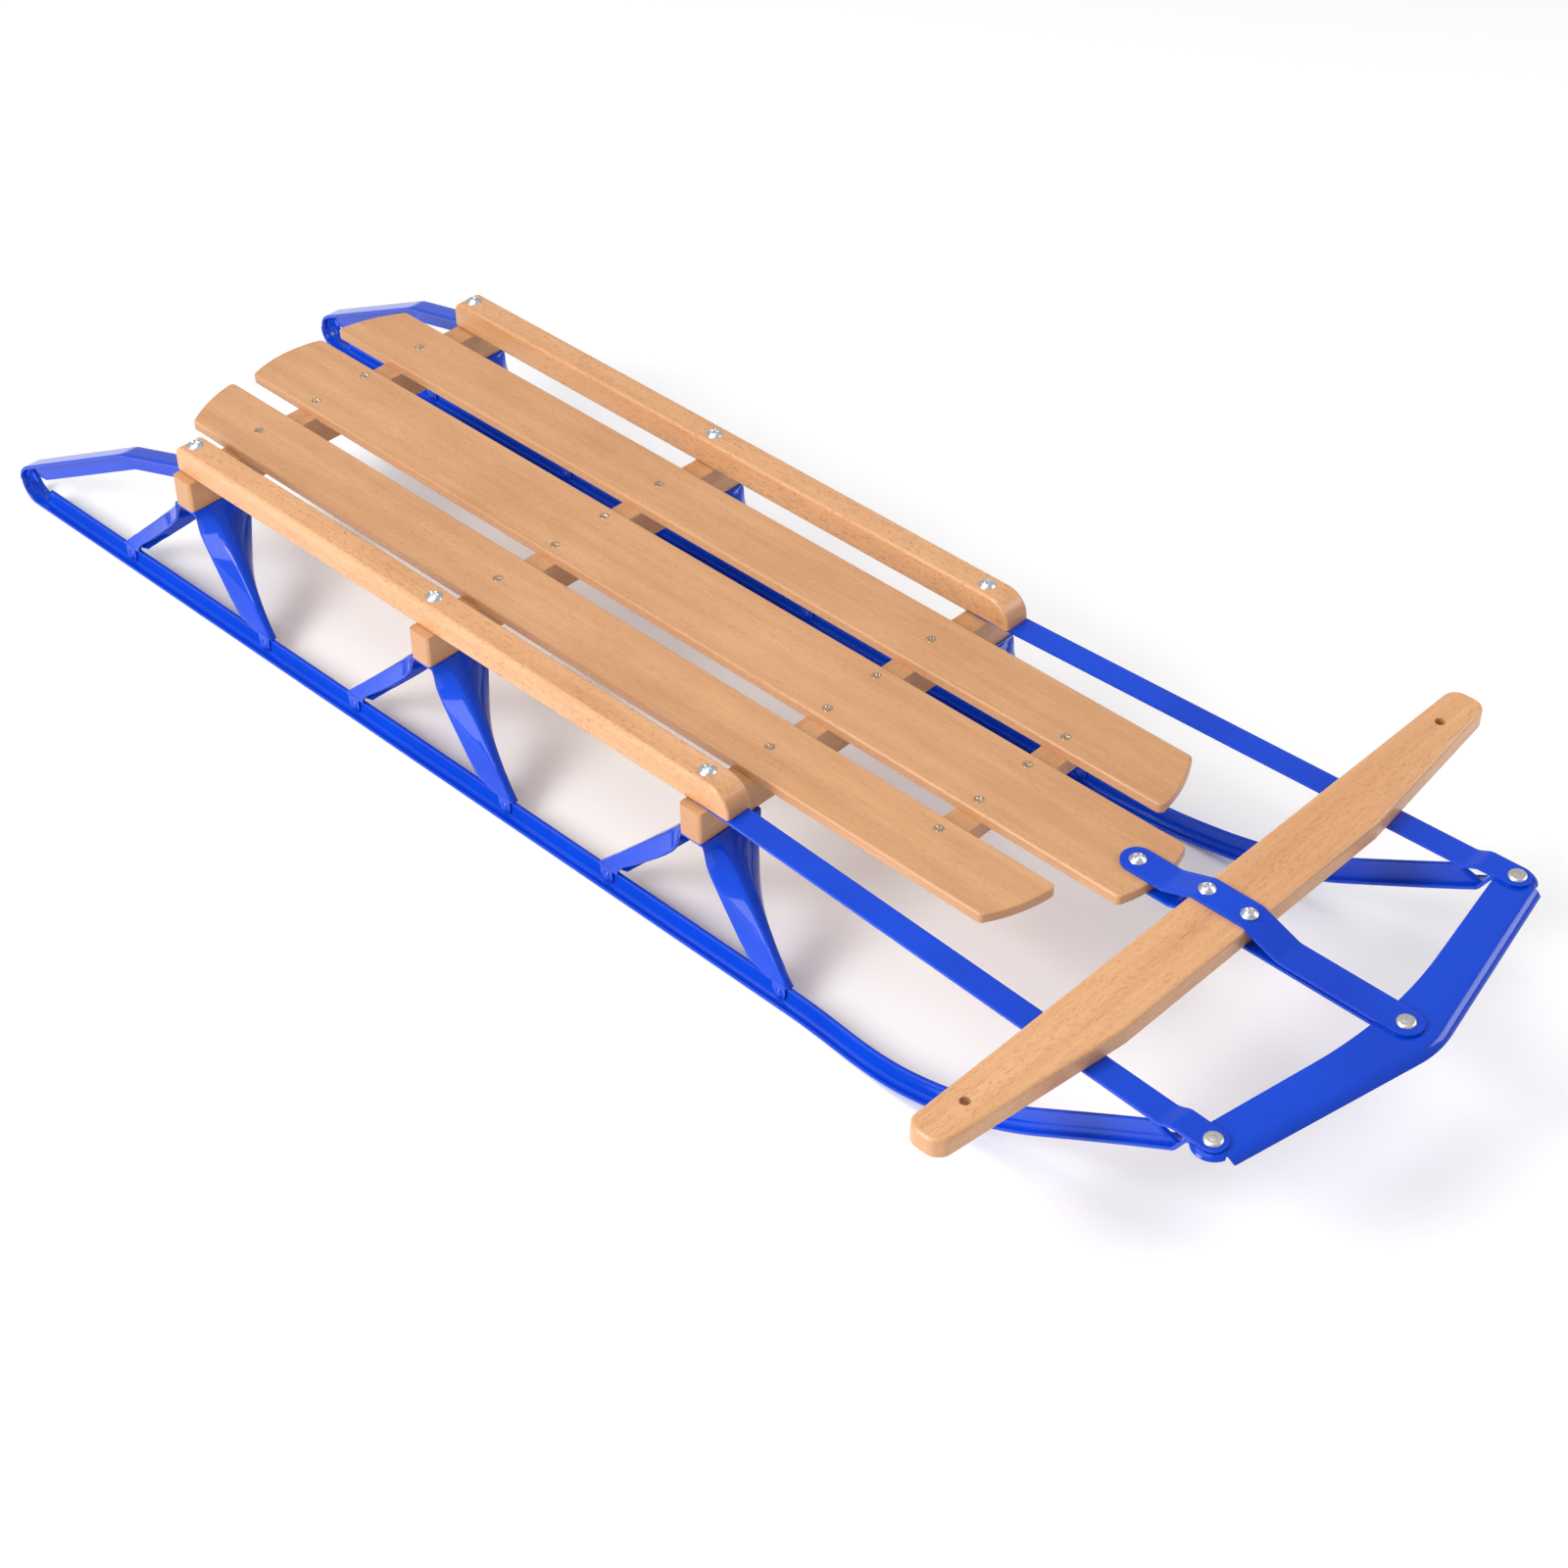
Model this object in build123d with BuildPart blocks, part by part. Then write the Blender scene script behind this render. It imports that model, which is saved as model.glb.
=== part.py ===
from build123d import *
import os
from math import acos, asin, atan2, cos, degrees, hypot, radians, sin, tan

# A steerable runner sled: three beech slats and two side rails on three benches,
# carried by six stamped steel knees on two T-section runners that loop up behind.
# A wooden cross bar turns on the middle slat and bends the runner fronts sideways
# through two flat straps and a pressed bumper.
#
# Frame: +Z up, front towards -Y, X across, origin on the ground at the middle of
# the whole box. "Ahead" is a distance in front of the middle bench. Millimetres.

os.makedirs("parts", exist_ok=True)

# ---------------------------------------------------------------- driving sizes
deck_top = 139.0            # top of the slats above the ground
slat_thick = 8.0
slat_edge_round = 2.0

bench_pitch = 297.5         # from bench to bench
bench_length = 344.0
bench_width = 22.0
bench_height = 28.0
bench_edge_round = 3.0

centre_slat_width = 76.0
centre_slat_front = 584.7   # ahead, at the slat's corners
centre_slat_back = 369.0    # behind the middle bench, at the corners
centre_slat_crown = 7.4     # how far each end bows out past its corners
outer_slat_width = 60.0
slat_gap = 19.5
outer_slat_front_inner = 546.5
outer_slat_front_outer = 527.5
outer_slat_back_inner = 372.0
outer_slat_back_outer = 349.0
outer_slat_crown = 4.0
slat_corner_round = 5.0

cleat_ahead = 447.0
cleat_length = 204.0
cleat_width = 24.0
cleat_height = 14.0

rail_centre_x = 152.4
rail_width = 24.0
rail_height = 25.3
rail_front = 330.0          # ahead
rail_back = 310.5           # behind
rail_front_round = 20.0
rail_back_round = 10.0
rail_toe_round = 4.0
rail_edge_round = 2.5

strap_thick = 2.5
side_strap_width = 21.0
side_strap_end_x = 171.5
side_strap_end_ahead = 771.3
side_strap_joggle_start = 26.0    # back from the end rivet, where the step is up
side_strap_joggle_run = 10.0
rebate_clearance = 0.2      # above the strap, under the rail

runner_x = 171.0            # middle of the runner's web
web_thick = 3.0
flange_width = 18.0
flange_thick = 3.0
runner_height = 17.5        # ground to the web's top edge
flex_ahead = 436.0          # where the runner's front begins to bend sideways
upsweep_ahead = 555.0       # where the ground line and the upsweep line cross
upsweep_angle = 31.0
upsweep_radius = 360.0
web_front_stop = 741.0      # ahead
curl_ahead = 748.0
curl_radius = 11.0
curl_run = 9.0
tongue_corner_radius = 3.0
tongue_end_radius = 9.0
loop_radius = 19.3          # outer radius of the rear loop
loop_reach = 541.0          # behind the middle bench, at the loop's rearmost point
loop_web_cut = 13.0
return_bend_behind = 387.7  # bend of the returning top run
return_bend_height = 111.8
return_bend_radius = 40.0
return_tongue_length = 26.0
return_tongue_width = 16.0
return_groove_width = 20.4
return_groove_spare = 1.5   # the groove is this much longer than the tongue
loop_split_behind = 420.0   # where the looped end is a piece of its own
flex_disc_gap = 0.3         # the runner's two parts at the flex line
join_overlap = 1.5
web_clearance = 0.5         # under the knee's crest, above the web

knee_thick = 2.0
knee_half_depth = 14.0      # half of the plate under the bench, fore and aft
knee_inner_x = 112.0
knee_plate_outer_x = 171.5
knee_foot_reach = 91.0      # bench middle to foot rivet
knee_crest_reach = 101.0
knee_foot_inner_reach = 61.0
knee_shoulder_drop = 19.0   # below the plate, where the legs begin to splay
knee_crest_out = 19.0       # how far the crest stands out at the shoulder
knee_shoulder_inner_x = 122.0
knee_crest_x = 155.0
knee_crest_flat = 6.0
knee_crest_swell = 1.0      # how far the crest already stands out at the plate
knee_ear_round = 6.3

pivot_ahead = 571.0
bar_back_ahead = 624.5
bar_depth = 50.0
bar_tip_depth = 31.0
bar_half_length = 304.0
bar_full_depth_to = 140.0
bar_thick = 15.0
bar_tip_round = 12.0
bar_edge_round = 3.0
rope_hole_x = 263.0
rope_hole_ahead = 641.5
rope_hole_radius = 4.0
steering_strap_width = 25.5
bar_bolt_ahead = (631.2, 667.6)
strap_bend_margin = 4.5     # bar edge to the upper strap's bend
strap_rise_run = 28.0
strap_fall_run = 33.0
strap_under_bar_run = 8.0

apex_ahead = 798.6
bumper_thick = 2.0
bumper_half_length = 173.0
bumper_front_at_apex = 29.1       # ahead of the apex rivet, before rounding
bumper_front_at_end = 19.6        # ahead of the end rivet
bumper_back_at_apex = 9.9         # behind the apex rivet, before rounding
bumper_back_at_end = 14.4
bumper_front_round = 90.0
bumper_back_round = 390.0
bumper_lobe_radius = 15.0
bumper_lip_drop = 6.5
bumper_lip_thick = 2.5
bumper_lip_round = 5.0
apex_slot_travel = 2.4
tongue_slot_travel = 3.6

bolt_radius = 3.0
bolt_hole_clearance = 0.1
swing_clearance = 0.06      # a strap on its own bolt or rivet
loose_clearance = 0.45      # where a closed linkage is opened
rail_bolt_head_radius = 7.0
rail_bolt_head_height = 3.2
bar_bolt_head_radius = 6.5
bar_bolt_head_height = 3.4
nut_across_flats = 10.0
nut_height = 5.0
bolt_tail = 1.2             # thread showing past the nut
rivet_head_radius = 7.0
rivet_head_height = 2.2
rivet_tail_radius = 5.5
rivet_tail_height = 1.6
knee_rivet_radius = 2.5
knee_rivet_head_radius = 4.4
knee_rivet_head_height = 1.7
screw_radius = 2.0
screw_head_radius = 4.0
screw_length = 20.0
screw_clearance = 0.1
outer_screw_x = 88.3
inner_screw_x = 26.8
cleat_outer_screw_x = 70.0
recess_width = 1.3
recess_depth = 1.2

# ---------------------------------------------------------------- worked-out places
front_mid_ahead = apex_ahead + bumper_front_at_apex
front_end_ahead = side_strap_end_ahead + bumper_front_at_end
front_slope = atan2(front_mid_ahead - front_end_ahead, bumper_half_length)
front_reach = front_mid_ahead - bumper_front_round * (1 / cos(front_slope) - 1)
middle_y = (front_reach - loop_reach) / 2


def ahead(distance):
    """The y of a place that lies this far ahead of the middle bench."""
    return middle_y - distance


bench_top = deck_top - slat_thick
bench_bottom = bench_top - bench_height
rail_top = bench_top + rail_height
plate_bottom = bench_bottom - knee_thick
bar_bottom = bench_top + flange_thick
bar_top = bar_bottom + bar_thick
bumper_bottom = bench_top + flange_thick
bumper_top = bumper_bottom + bumper_thick
outer_slat_x = centre_slat_width / 2 + slat_gap
screw_x_hole = screw_radius + screw_clearance
bolt_hole = bolt_radius + bolt_hole_clearance
swing_hole = bolt_radius + swing_clearance
loose_hole = bolt_radius + loose_clearance
rivet_z = (runner_height + flange_thick) / 2

benches = {"front": ahead(bench_pitch), "middle": ahead(0), "rear": ahead(-bench_pitch)}
bench_ys = list(benches.values())
cleat_y = ahead(cleat_ahead)
pivot_y = ahead(pivot_ahead)
apex_y = ahead(apex_ahead)
strap_end_y = ahead(side_strap_end_ahead)
foot_rivet_places = [(y + t * knee_foot_reach, rivet_z) for y in bench_ys for t in (-1, 1)]

made = []


def finish(piece, name):
    """Name a finished piece and write its STEP file."""
    piece.part.label = name
    export_step(piece.part, f"parts/{name}.step")
    made.append(name)


def mirrored(piece):
    """The same piece on the other side of the sled."""
    with BuildPart() as twin:
        mirror(piece.part, about=Plane.YZ)
    return twin


# ---------------------------------------------------------------- slats
def slat(outline_points, screws, pivot=False):
    """One slat: two straight sides joined by bowed ends, countersunk for its screws."""
    back_inner, back_mid, back_outer, front_outer, front_mid, front_inner = outline_points
    with BuildPart() as piece:
        with BuildSketch(Plane.XY.offset(bench_top)):
            with BuildLine():
                ThreePointArc(back_inner, back_mid, back_outer)
                Line(back_outer, front_outer)
                ThreePointArc(front_outer, front_mid, front_inner)
                Line(front_inner, back_inner)
            make_face()
            fillet(vertices(), slat_corner_round)
        extrude(amount=slat_thick)
        fillet(faces().sort_by(Axis.Z)[-1].edges(), slat_edge_round)
        with Locations(*[(x, y, deck_top) for x, y in screws]):
            CounterSinkHole(screw_x_hole, screw_head_radius + screw_clearance)
        if pivot:
            with Locations((0, pivot_y, deck_top)):
                Hole(bolt_hole)
    return piece


half = centre_slat_width / 2
centre_screws = [(s * inner_screw_x, y) for s in (-1, 1) for y in bench_ys + [cleat_y]]
slat_centre = slat(
    [
        (-half, ahead(-centre_slat_back)),
        (0, ahead(-centre_slat_back - centre_slat_crown)),
        (half, ahead(-centre_slat_back)),
        (half, ahead(centre_slat_front)),
        (0, ahead(centre_slat_front + centre_slat_crown)),
        (-half, ahead(centre_slat_front)),
    ],
    centre_screws,
    pivot=True,
)
finish(slat_centre, "slat_centre")


def bowed_middle(start, end, crown):
    """The middle of an end that bows out by crown, always away from the deck."""
    run = (end[0] - start[0], end[1] - start[1])
    length = hypot(*run)
    middle = ((start[0] + end[0]) / 2, (start[1] + end[1]) / 2)
    outward = 1 if middle[1] > middle_y else -1
    return (middle[0] - crown * outward * run[1] / length, middle[1] + crown * outward * run[0] / length)


outer_x = outer_slat_x + outer_slat_width
back_inner = (outer_slat_x, ahead(-outer_slat_back_inner))
back_outer = (outer_x, ahead(-outer_slat_back_outer))
front_inner = (outer_slat_x, ahead(outer_slat_front_inner))
front_outer = (outer_x, ahead(outer_slat_front_outer))
outer_screws = [(outer_screw_x, y) for y in bench_ys] + [(cleat_outer_screw_x, cleat_y)]
slat_left = slat(
    [
        back_inner,
        bowed_middle(back_inner, back_outer, outer_slat_crown),
        back_outer,
        front_outer,
        bowed_middle(front_inner, front_outer, outer_slat_crown),
        front_inner,
    ],
    outer_screws,
)
finish(slat_left, "slat_left")
slat_right = mirrored(slat_left)
finish(slat_right, "slat_right")

# ---------------------------------------------------------------- benches and cleat
for where, y in benches.items():
    with BuildPart() as bench:
        with BuildSketch(Plane.XY.offset(bench_bottom)):
            with Locations((0, y)):
                RectangleRounded(bench_length, bench_width, bench_edge_round)
        extrude(amount=bench_height)
        with Locations(*[(s * rail_centre_x, y, bench_top) for s in (-1, 1)]):
            Hole(bolt_hole)
        screw_xs = [s * x for s in (-1, 1) for x in (inner_screw_x, outer_screw_x)]
        with Locations(*[(x, y, bench_top) for x in screw_xs]):
            Hole(screw_x_hole, depth=screw_length - slat_thick)
    finish(bench, f"bench_{where}")

with BuildPart() as front_cleat:
    with BuildSketch(Plane.XY.offset(bench_top - cleat_height)):
        with Locations((0, cleat_y)):
            RectangleRounded(cleat_length, cleat_width, bench_edge_round)
    extrude(amount=cleat_height)
    cleat_screw_xs = [s * x for s in (-1, 1) for x in (inner_screw_x, cleat_outer_screw_x)]
    with Locations(*[(x, cleat_y, bench_top) for x in cleat_screw_xs]):
        Hole(screw_x_hole, depth=screw_length - slat_thick)
finish(front_cleat, "front_cleat")

# ---------------------------------------------------------------- side rails
with BuildPart() as side_rail_left:
    with BuildSketch(Plane.YZ.offset(rail_centre_x)):
        with BuildLine():
            Polyline(
                (ahead(rail_front), bench_top),
                (ahead(-rail_back), bench_top),
                (ahead(-rail_back), rail_top),
                (ahead(rail_front), rail_top),
                close=True,
            )
        make_face()
        for corner_y, corner_z, radius in (
            (ahead(rail_front), rail_top, rail_front_round),
            (ahead(rail_front), bench_top, rail_toe_round),
            (ahead(-rail_back), rail_top, rail_back_round),
            (ahead(-rail_back), bench_top, rail_toe_round),
        ):
            fillet(vertices().sort_by_distance((corner_y, corner_z))[0], radius)
    extrude(amount=rail_width / 2, both=True)
    fillet(edges().filter_by(Axis.Y).group_by(Axis.Z)[-1], rail_edge_round)
    with Locations(*[(rail_centre_x, y, rail_top) for y in bench_ys]):
        Hole(bolt_hole)
    # an open rebate over the side strap, and a blind groove for the runner's tongue
    rebate_back = benches["front"] + bench_width / 2 + rebate_clearance
    with BuildSketch(Plane.XY.offset(bench_top)):
        with Locations((rail_centre_x, ahead(rail_front))):
            Rectangle(rail_width, rebate_back - ahead(rail_front), align=(Align.CENTER, Align.MIN))
    extrude(amount=strap_thick + rebate_clearance, mode=Mode.SUBTRACT)
    with BuildSketch(Plane.XY.offset(bench_top)):
        with Locations((rail_centre_x, ahead(-rail_back))):
            Rectangle(
                return_groove_width,
                return_tongue_length + return_groove_spare,
                align=(Align.CENTER, Align.MAX),
            )
    extrude(amount=flange_thick + rebate_clearance, mode=Mode.SUBTRACT)
finish(side_rail_left, "side_rail_left")
side_rail_right = mirrored(side_rail_left)
finish(side_rail_right, "side_rail_right")

# ---------------------------------------------------------------- runners
flex_y = ahead(flex_ahead)
upsweep_y = ahead(upsweep_ahead)
rise = tan(radians(upsweep_angle))


def upsweep(distance):
    """The place on the upsweep's underside that lies this far ahead."""
    return (ahead(distance), (upsweep_y - ahead(distance)) * rise)


tongue_bottom = bumper_bottom - flange_thick
tongue_corner = (ahead(curl_ahead) - curl_run, tongue_bottom)
tongue_tip = (strap_end_y - tongue_end_radius, tongue_bottom)

# the rear loop leaves its circle on the tangent to the bend of the top run
bend = (ahead(-return_bend_behind), return_bend_height)
loop_centre = (ahead(-loop_reach) - loop_radius, loop_radius)
to_bend = (bend[0] - loop_centre[0], bend[1] - loop_centre[1])
leave_angle = atan2(to_bend[1], to_bend[0]) - acos(loop_radius / hypot(*to_bend))
leave_y = loop_centre[0] + loop_radius * cos(leave_angle)
leave_z = loop_centre[1] + loop_radius * sin(leave_angle)

# the top run leans inwards from the loop to the rail bolt, in an upright plane
lean = atan2(runner_x - rail_centre_x, leave_y - benches["rear"])
web_plane = Plane.YZ.offset(runner_x)
return_plane = Plane(
    origin=(runner_x, leave_y, 0),
    x_dir=(-sin(lean), -cos(lean), 0),
    z_dir=(-cos(lean), sin(lean), 0),
)


def along_return(y, z):
    """A place in the leaning plane, from its y and z in the sled's frame."""
    return ((leave_y - y) / cos(lean), z)


def bent_bar(plane, points, radii, thick, width, side=Side.RIGHT):
    """A flat bar that follows a bent path; the path is its outer face, seen from the side."""
    with BuildPart() as bar:
        with BuildSketch(plane):
            with BuildLine():
                path = FilletPolyline(*points, radius=radii) if radii else Line(*points)
                offset(path, amount=thick, side=side)
            make_face()
        extrude(amount=width / 2, both=True)
    return bar.part


with BuildPart() as runner_front_left:
    front_path = [(flex_y, 0), (upsweep_y, 0), upsweep(curl_ahead), tongue_corner, tongue_tip]
    front_radii = [upsweep_radius, curl_radius, tongue_corner_radius]
    add(bent_bar(web_plane, front_path, front_radii, flange_thick, flange_width))
    fillet(edges().filter_by(Axis.Z).group_by(Axis.Y)[0], tongue_end_radius - 0.1)
    web_path = [(flex_y + flange_width / 3, 0), (upsweep_y, 0), upsweep(web_front_stop)]
    add(bent_bar(web_plane, web_path, [upsweep_radius], runner_height, web_thick))
    with BuildSketch(Plane.XY):
        with Locations((runner_x, flex_y)):
            Circle(flange_width / 2)
    extrude(amount=flange_thick)
    with BuildSketch(Plane.XY.offset(tongue_bottom)):
        with Locations((side_strap_end_x, strap_end_y)):
            SlotCenterToCenter(tongue_slot_travel, 2 * loose_hole, rotation=90)
    extrude(amount=flange_thick, mode=Mode.SUBTRACT)
finish(runner_front_left, "runner_front_left")
runner_front_right = mirrored(runner_front_left)
finish(runner_front_right, "runner_front_right")

split_y = ahead(-loop_split_behind)
with BuildPart() as runner_left:
    sole_line = [(split_y, 0), (flex_y, 0)]
    add(bent_bar(web_plane, sole_line, None, flange_thick, flange_width))
    add(bent_bar(web_plane, sole_line, None, runner_height, web_thick))
    with BuildSketch(web_plane):
        with Locations(*foot_rivet_places):
            Circle(knee_rivet_radius)
    extrude(amount=web_thick, both=True, mode=Mode.SUBTRACT)
    # the concave end that the runner's front turns in
    with BuildSketch(Plane.XY):
        with Locations((runner_x, flex_y)):
            Circle(flange_width / 2 + flex_disc_gap)
    extrude(amount=runner_height, mode=Mode.SUBTRACT)
finish(runner_left, "runner_left")
runner_right = mirrored(runner_left)
finish(runner_right, "runner_right")

with BuildPart() as runner_loop_left:
    with BuildSketch(web_plane):
        with BuildLine():
            ground = Line((split_y, 0), (loop_centre[0], 0))
            loop = CenterArc(loop_centre, loop_radius, -90, degrees(leave_angle) + 90)
            offset(Wire([ground, loop]), amount=flange_thick, side=Side.LEFT)
        make_face()
    extrude(amount=flange_width / 2, both=True)
    # the return run starts a little inside the loop, so that the two join cleanly
    slope = Vector(bend[0] - leave_y, bend[1] - leave_z).normalized()
    start = along_return(leave_y - slope.X * join_overlap, leave_z - slope.Y * join_overlap)
    rail_end = along_return(ahead(-rail_back), bench_top + flange_thick)
    tongue_end = along_return(ahead(-rail_back) - return_tongue_length, bench_top + flange_thick)
    top_run = [start, along_return(*bend), rail_end]
    top_radii = [return_bend_radius]
    add(bent_bar(return_plane, top_run, top_radii, flange_thick, flange_width))
    add(bent_bar(return_plane, top_run, top_radii, runner_height, web_thick))
    add(bent_bar(return_plane, [rail_end, tongue_end], None, flange_thick, return_tongue_width))
    ground_line = [(loop_centre[0], 0), (split_y, 0)]
    add(bent_bar(web_plane, ground_line, None, runner_height, web_thick))
    # the web is nicked away inside the loop, and stops at the bench
    with BuildSketch(web_plane):
        with Locations(loop_centre):
            Circle(loop_web_cut)
    extrude(amount=flange_width, both=True, mode=Mode.SUBTRACT)
    with BuildSketch(Plane.XY.offset(bench_bottom)):
        with Locations((rail_centre_x, benches["rear"] + bench_width / 2)):
            Rectangle(flange_width, bench_width, align=(Align.CENTER, Align.MAX))
    extrude(amount=bench_height, mode=Mode.SUBTRACT)
    with Locations((rail_centre_x, benches["rear"], rail_top)):
        Hole(bolt_hole)
finish(runner_loop_left, "runner_loop_left")
runner_loop_right = mirrored(runner_loop_left)
finish(runner_loop_right, "runner_loop_right")

# ---------------------------------------------------------------- knees
web_outer = runner_x + web_thick / 2
web_inner = runner_x - web_thick / 2
ear_outer = web_outer + knee_thick
ear_inner = web_inner - knee_thick
shoulder_z = plate_bottom - knee_shoulder_drop
foot_z = runner_height + web_clearance
crest_a = knee_crest_x + knee_crest_flat / 2
crest_b = knee_crest_x - knee_crest_flat / 2
fold = knee_thick * 1.3     # plate thickness seen level, where the plate slopes


def leg_sections(y, turn):
    """Three level cuts through one leg: at the plate, at the shoulder, above the web."""
    edge = knee_half_depth
    crest = edge + knee_crest_out
    swell = edge + knee_crest_swell
    outer_x = knee_plate_outer_x
    at_plate = [
        (outer_x, edge),
        (crest_a, swell),
        (crest_b, swell),
        (knee_inner_x, edge),
        (knee_inner_x, edge - fold),
        (crest_b, swell - fold),
        (crest_a, swell - fold),
        (outer_x, edge - fold),
    ]
    at_shoulder = [
        (outer_x, edge + 2),
        (crest_a, crest),
        (crest_b, crest),
        (knee_shoulder_inner_x, edge + 4),
        (knee_shoulder_inner_x, edge + 4 - fold),
        (crest_b, crest - fold * 1.3),
        (crest_a, crest - fold * 1.3),
        (outer_x, edge + 2 - fold * 1.3),
    ]
    back, front = knee_foot_inner_reach, knee_crest_reach
    at_foot = [
        (ear_outer, back),
        (ear_outer, front),
        (ear_inner, front),
        (ear_inner, back),
        (web_inner, back),
        (web_inner, front - knee_thick),
        (web_outer, front - knee_thick),
        (web_outer, back),
    ]
    levels = (plate_bottom, at_plate), (shoulder_z, at_shoulder), (foot_z, at_foot)
    return [(z, [(x, y - turn * reach) for x, reach in points]) for z, points in levels]


def knee(y):
    """A pressed arch: a plate under the bench, two ridged legs, and feet astride the web."""
    with BuildPart() as piece:
        with BuildSketch(Plane.XY.offset(plate_bottom)):
            with Locations(((knee_plate_outer_x + knee_inner_x) / 2, y)):
                Rectangle(knee_plate_outer_x - knee_inner_x, 2 * knee_half_depth)
        extrude(amount=knee_thick)
        for turn in (1, -1):
            for z, points in leg_sections(y, turn):
                with BuildSketch(Plane.XY.offset(z)):
                    with BuildLine():
                        Polyline(*points, close=True)
                    make_face()
            loft(ruled=True)
            rivet_y = y - turn * knee_foot_reach
            for inner_face in (ear_inner, web_outer):
                with BuildSketch(Plane.YZ.offset(inner_face)):
                    with BuildLine():
                        Polyline(
                            (y - turn * (knee_foot_reach - 2.4 * knee_ear_round), foot_z),
                            (y - turn * knee_crest_reach, foot_z),
                            (rivet_y - turn * knee_ear_round, rivet_z),
                            (rivet_y + turn * knee_ear_round, rivet_z),
                            close=True,
                        )
                    make_face()
                    with Locations((rivet_y, rivet_z)):
                        Circle(knee_ear_round)
                        Circle(knee_rivet_radius, mode=Mode.SUBTRACT)
                extrude(amount=knee_thick)
        with Locations((rail_centre_x, y, bench_bottom)):
            Hole(bolt_hole, depth=knee_thick)
    return piece


for where, y in benches.items():
    left_knee = knee(y)
    finish(left_knee, f"knee_{where}_left")
    right_knee = mirrored(left_knee)
    finish(right_knee, f"knee_{where}_right")

# ---------------------------------------------------------------- side straps
strap_along = side_strap_end_ahead - bench_pitch
strap_across = side_strap_end_x - rail_centre_x
strap_length = hypot(strap_along, strap_across)
strap_plane = Plane(
    origin=(rail_centre_x, benches["front"], 0),
    x_dir=(strap_across, -strap_along, 0),
    z_dir=(0, 0, 1),
)
strap_side_plane = Plane(
    origin=strap_plane.origin, x_dir=strap_plane.x_dir, z_dir=-strap_plane.y_dir
)
strap_end_z = bumper_top

with BuildPart() as side_strap_left:
    joggle = strap_length - side_strap_joggle_start
    reach = strap_length + side_strap_width
    with BuildSketch(strap_side_plane):
        with BuildLine():
            Polyline(
                (-side_strap_width, bench_top),
                (joggle - side_strap_joggle_run, bench_top),
                (joggle, strap_end_z),
                (reach, strap_end_z),
                (reach, strap_end_z + strap_thick),
                (joggle - 1, strap_end_z + strap_thick),
                (joggle - side_strap_joggle_run - 1, bench_top + strap_thick),
                (-side_strap_width, bench_top + strap_thick),
                close=True,
            )
        make_face()
    extrude(amount=side_strap_width / 2, both=True)
    with BuildSketch(strap_plane):
        with Locations((strap_length / 2, 0)):
            SlotCenterToCenter(strap_length, side_strap_width)
    extrude(amount=deck_top + rail_top, mode=Mode.INTERSECT)
    with Locations((rail_centre_x, benches["front"], rail_top), (side_strap_end_x, strap_end_y, rail_top)):
        Hole(swing_hole)
finish(side_strap_left, "side_strap_left")
side_strap_right = mirrored(side_strap_left)
finish(side_strap_right, "side_strap_right")

# ---------------------------------------------------------------- bumper
def bumper_band(front_inset, back_at_apex, back_at_end):
    """A stretch of the bumper, from inside its front edge to so far behind its rivets."""
    front_mid = ahead(front_mid_ahead) + front_inset
    front_end = ahead(front_end_ahead) + front_inset
    back_mid, back_end = apex_y + back_at_apex, strap_end_y + back_at_end
    reach = bumper_half_length
    with BuildSketch() as band:
        with BuildLine():
            Polyline(
                (0, front_mid),
                (reach, front_end),
                (reach, back_end),
                (0, back_mid),
                (-reach, back_end),
                (-reach, front_end),
                close=True,
            )
        make_face()
        fillet(vertices().sort_by_distance((0, front_mid))[0], bumper_front_round)
        fillet(vertices().sort_by_distance((0, back_mid))[0], bumper_back_round)
    return band.sketch


with BuildPart() as bumper:
    with BuildSketch(Plane.XY.offset(bumper_bottom)):
        add(bumper_band(0, bumper_back_at_apex, bumper_back_at_end))
        with Locations((side_strap_end_x, strap_end_y), (-side_strap_end_x, strap_end_y)):
            Circle(bumper_lobe_radius)
    extrude(amount=bumper_thick)
    with BuildSketch(Plane.XY.offset(bumper_top - bumper_lip_drop)):
        add(bumper_band(0, bumper_back_at_apex, bumper_back_at_end))
        add(bumper_band(bumper_lip_thick, bumper_back_at_apex, bumper_back_at_end), mode=Mode.SUBTRACT)
    extrude(amount=bumper_lip_drop)
    rim = edges().group_by(Axis.Z)[-1]
    fillet([e for e in rim if e.center().Y < apex_y], bumper_lip_round)
    with Locations((side_strap_end_x, strap_end_y, bumper_top)):
        Hole(swing_hole)
    with Locations((-side_strap_end_x, strap_end_y, bumper_top)):
        Hole(loose_hole)
    with BuildSketch(Plane.XY.offset(bumper_bottom)):
        with Locations((0, apex_y)):
            SlotCenterToCenter(apex_slot_travel, 2 * loose_hole, rotation=90)
    extrude(amount=bumper_thick, mode=Mode.SUBTRACT)
finish(bumper, "bumper")

# ---------------------------------------------------------------- steering
bar_back = ahead(bar_back_ahead)
bar_front = ahead(bar_back_ahead + bar_depth)
bar_tip_front = ahead(bar_back_ahead + bar_tip_depth)
bar_bolts_y = [ahead(distance) for distance in bar_bolt_ahead]

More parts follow.
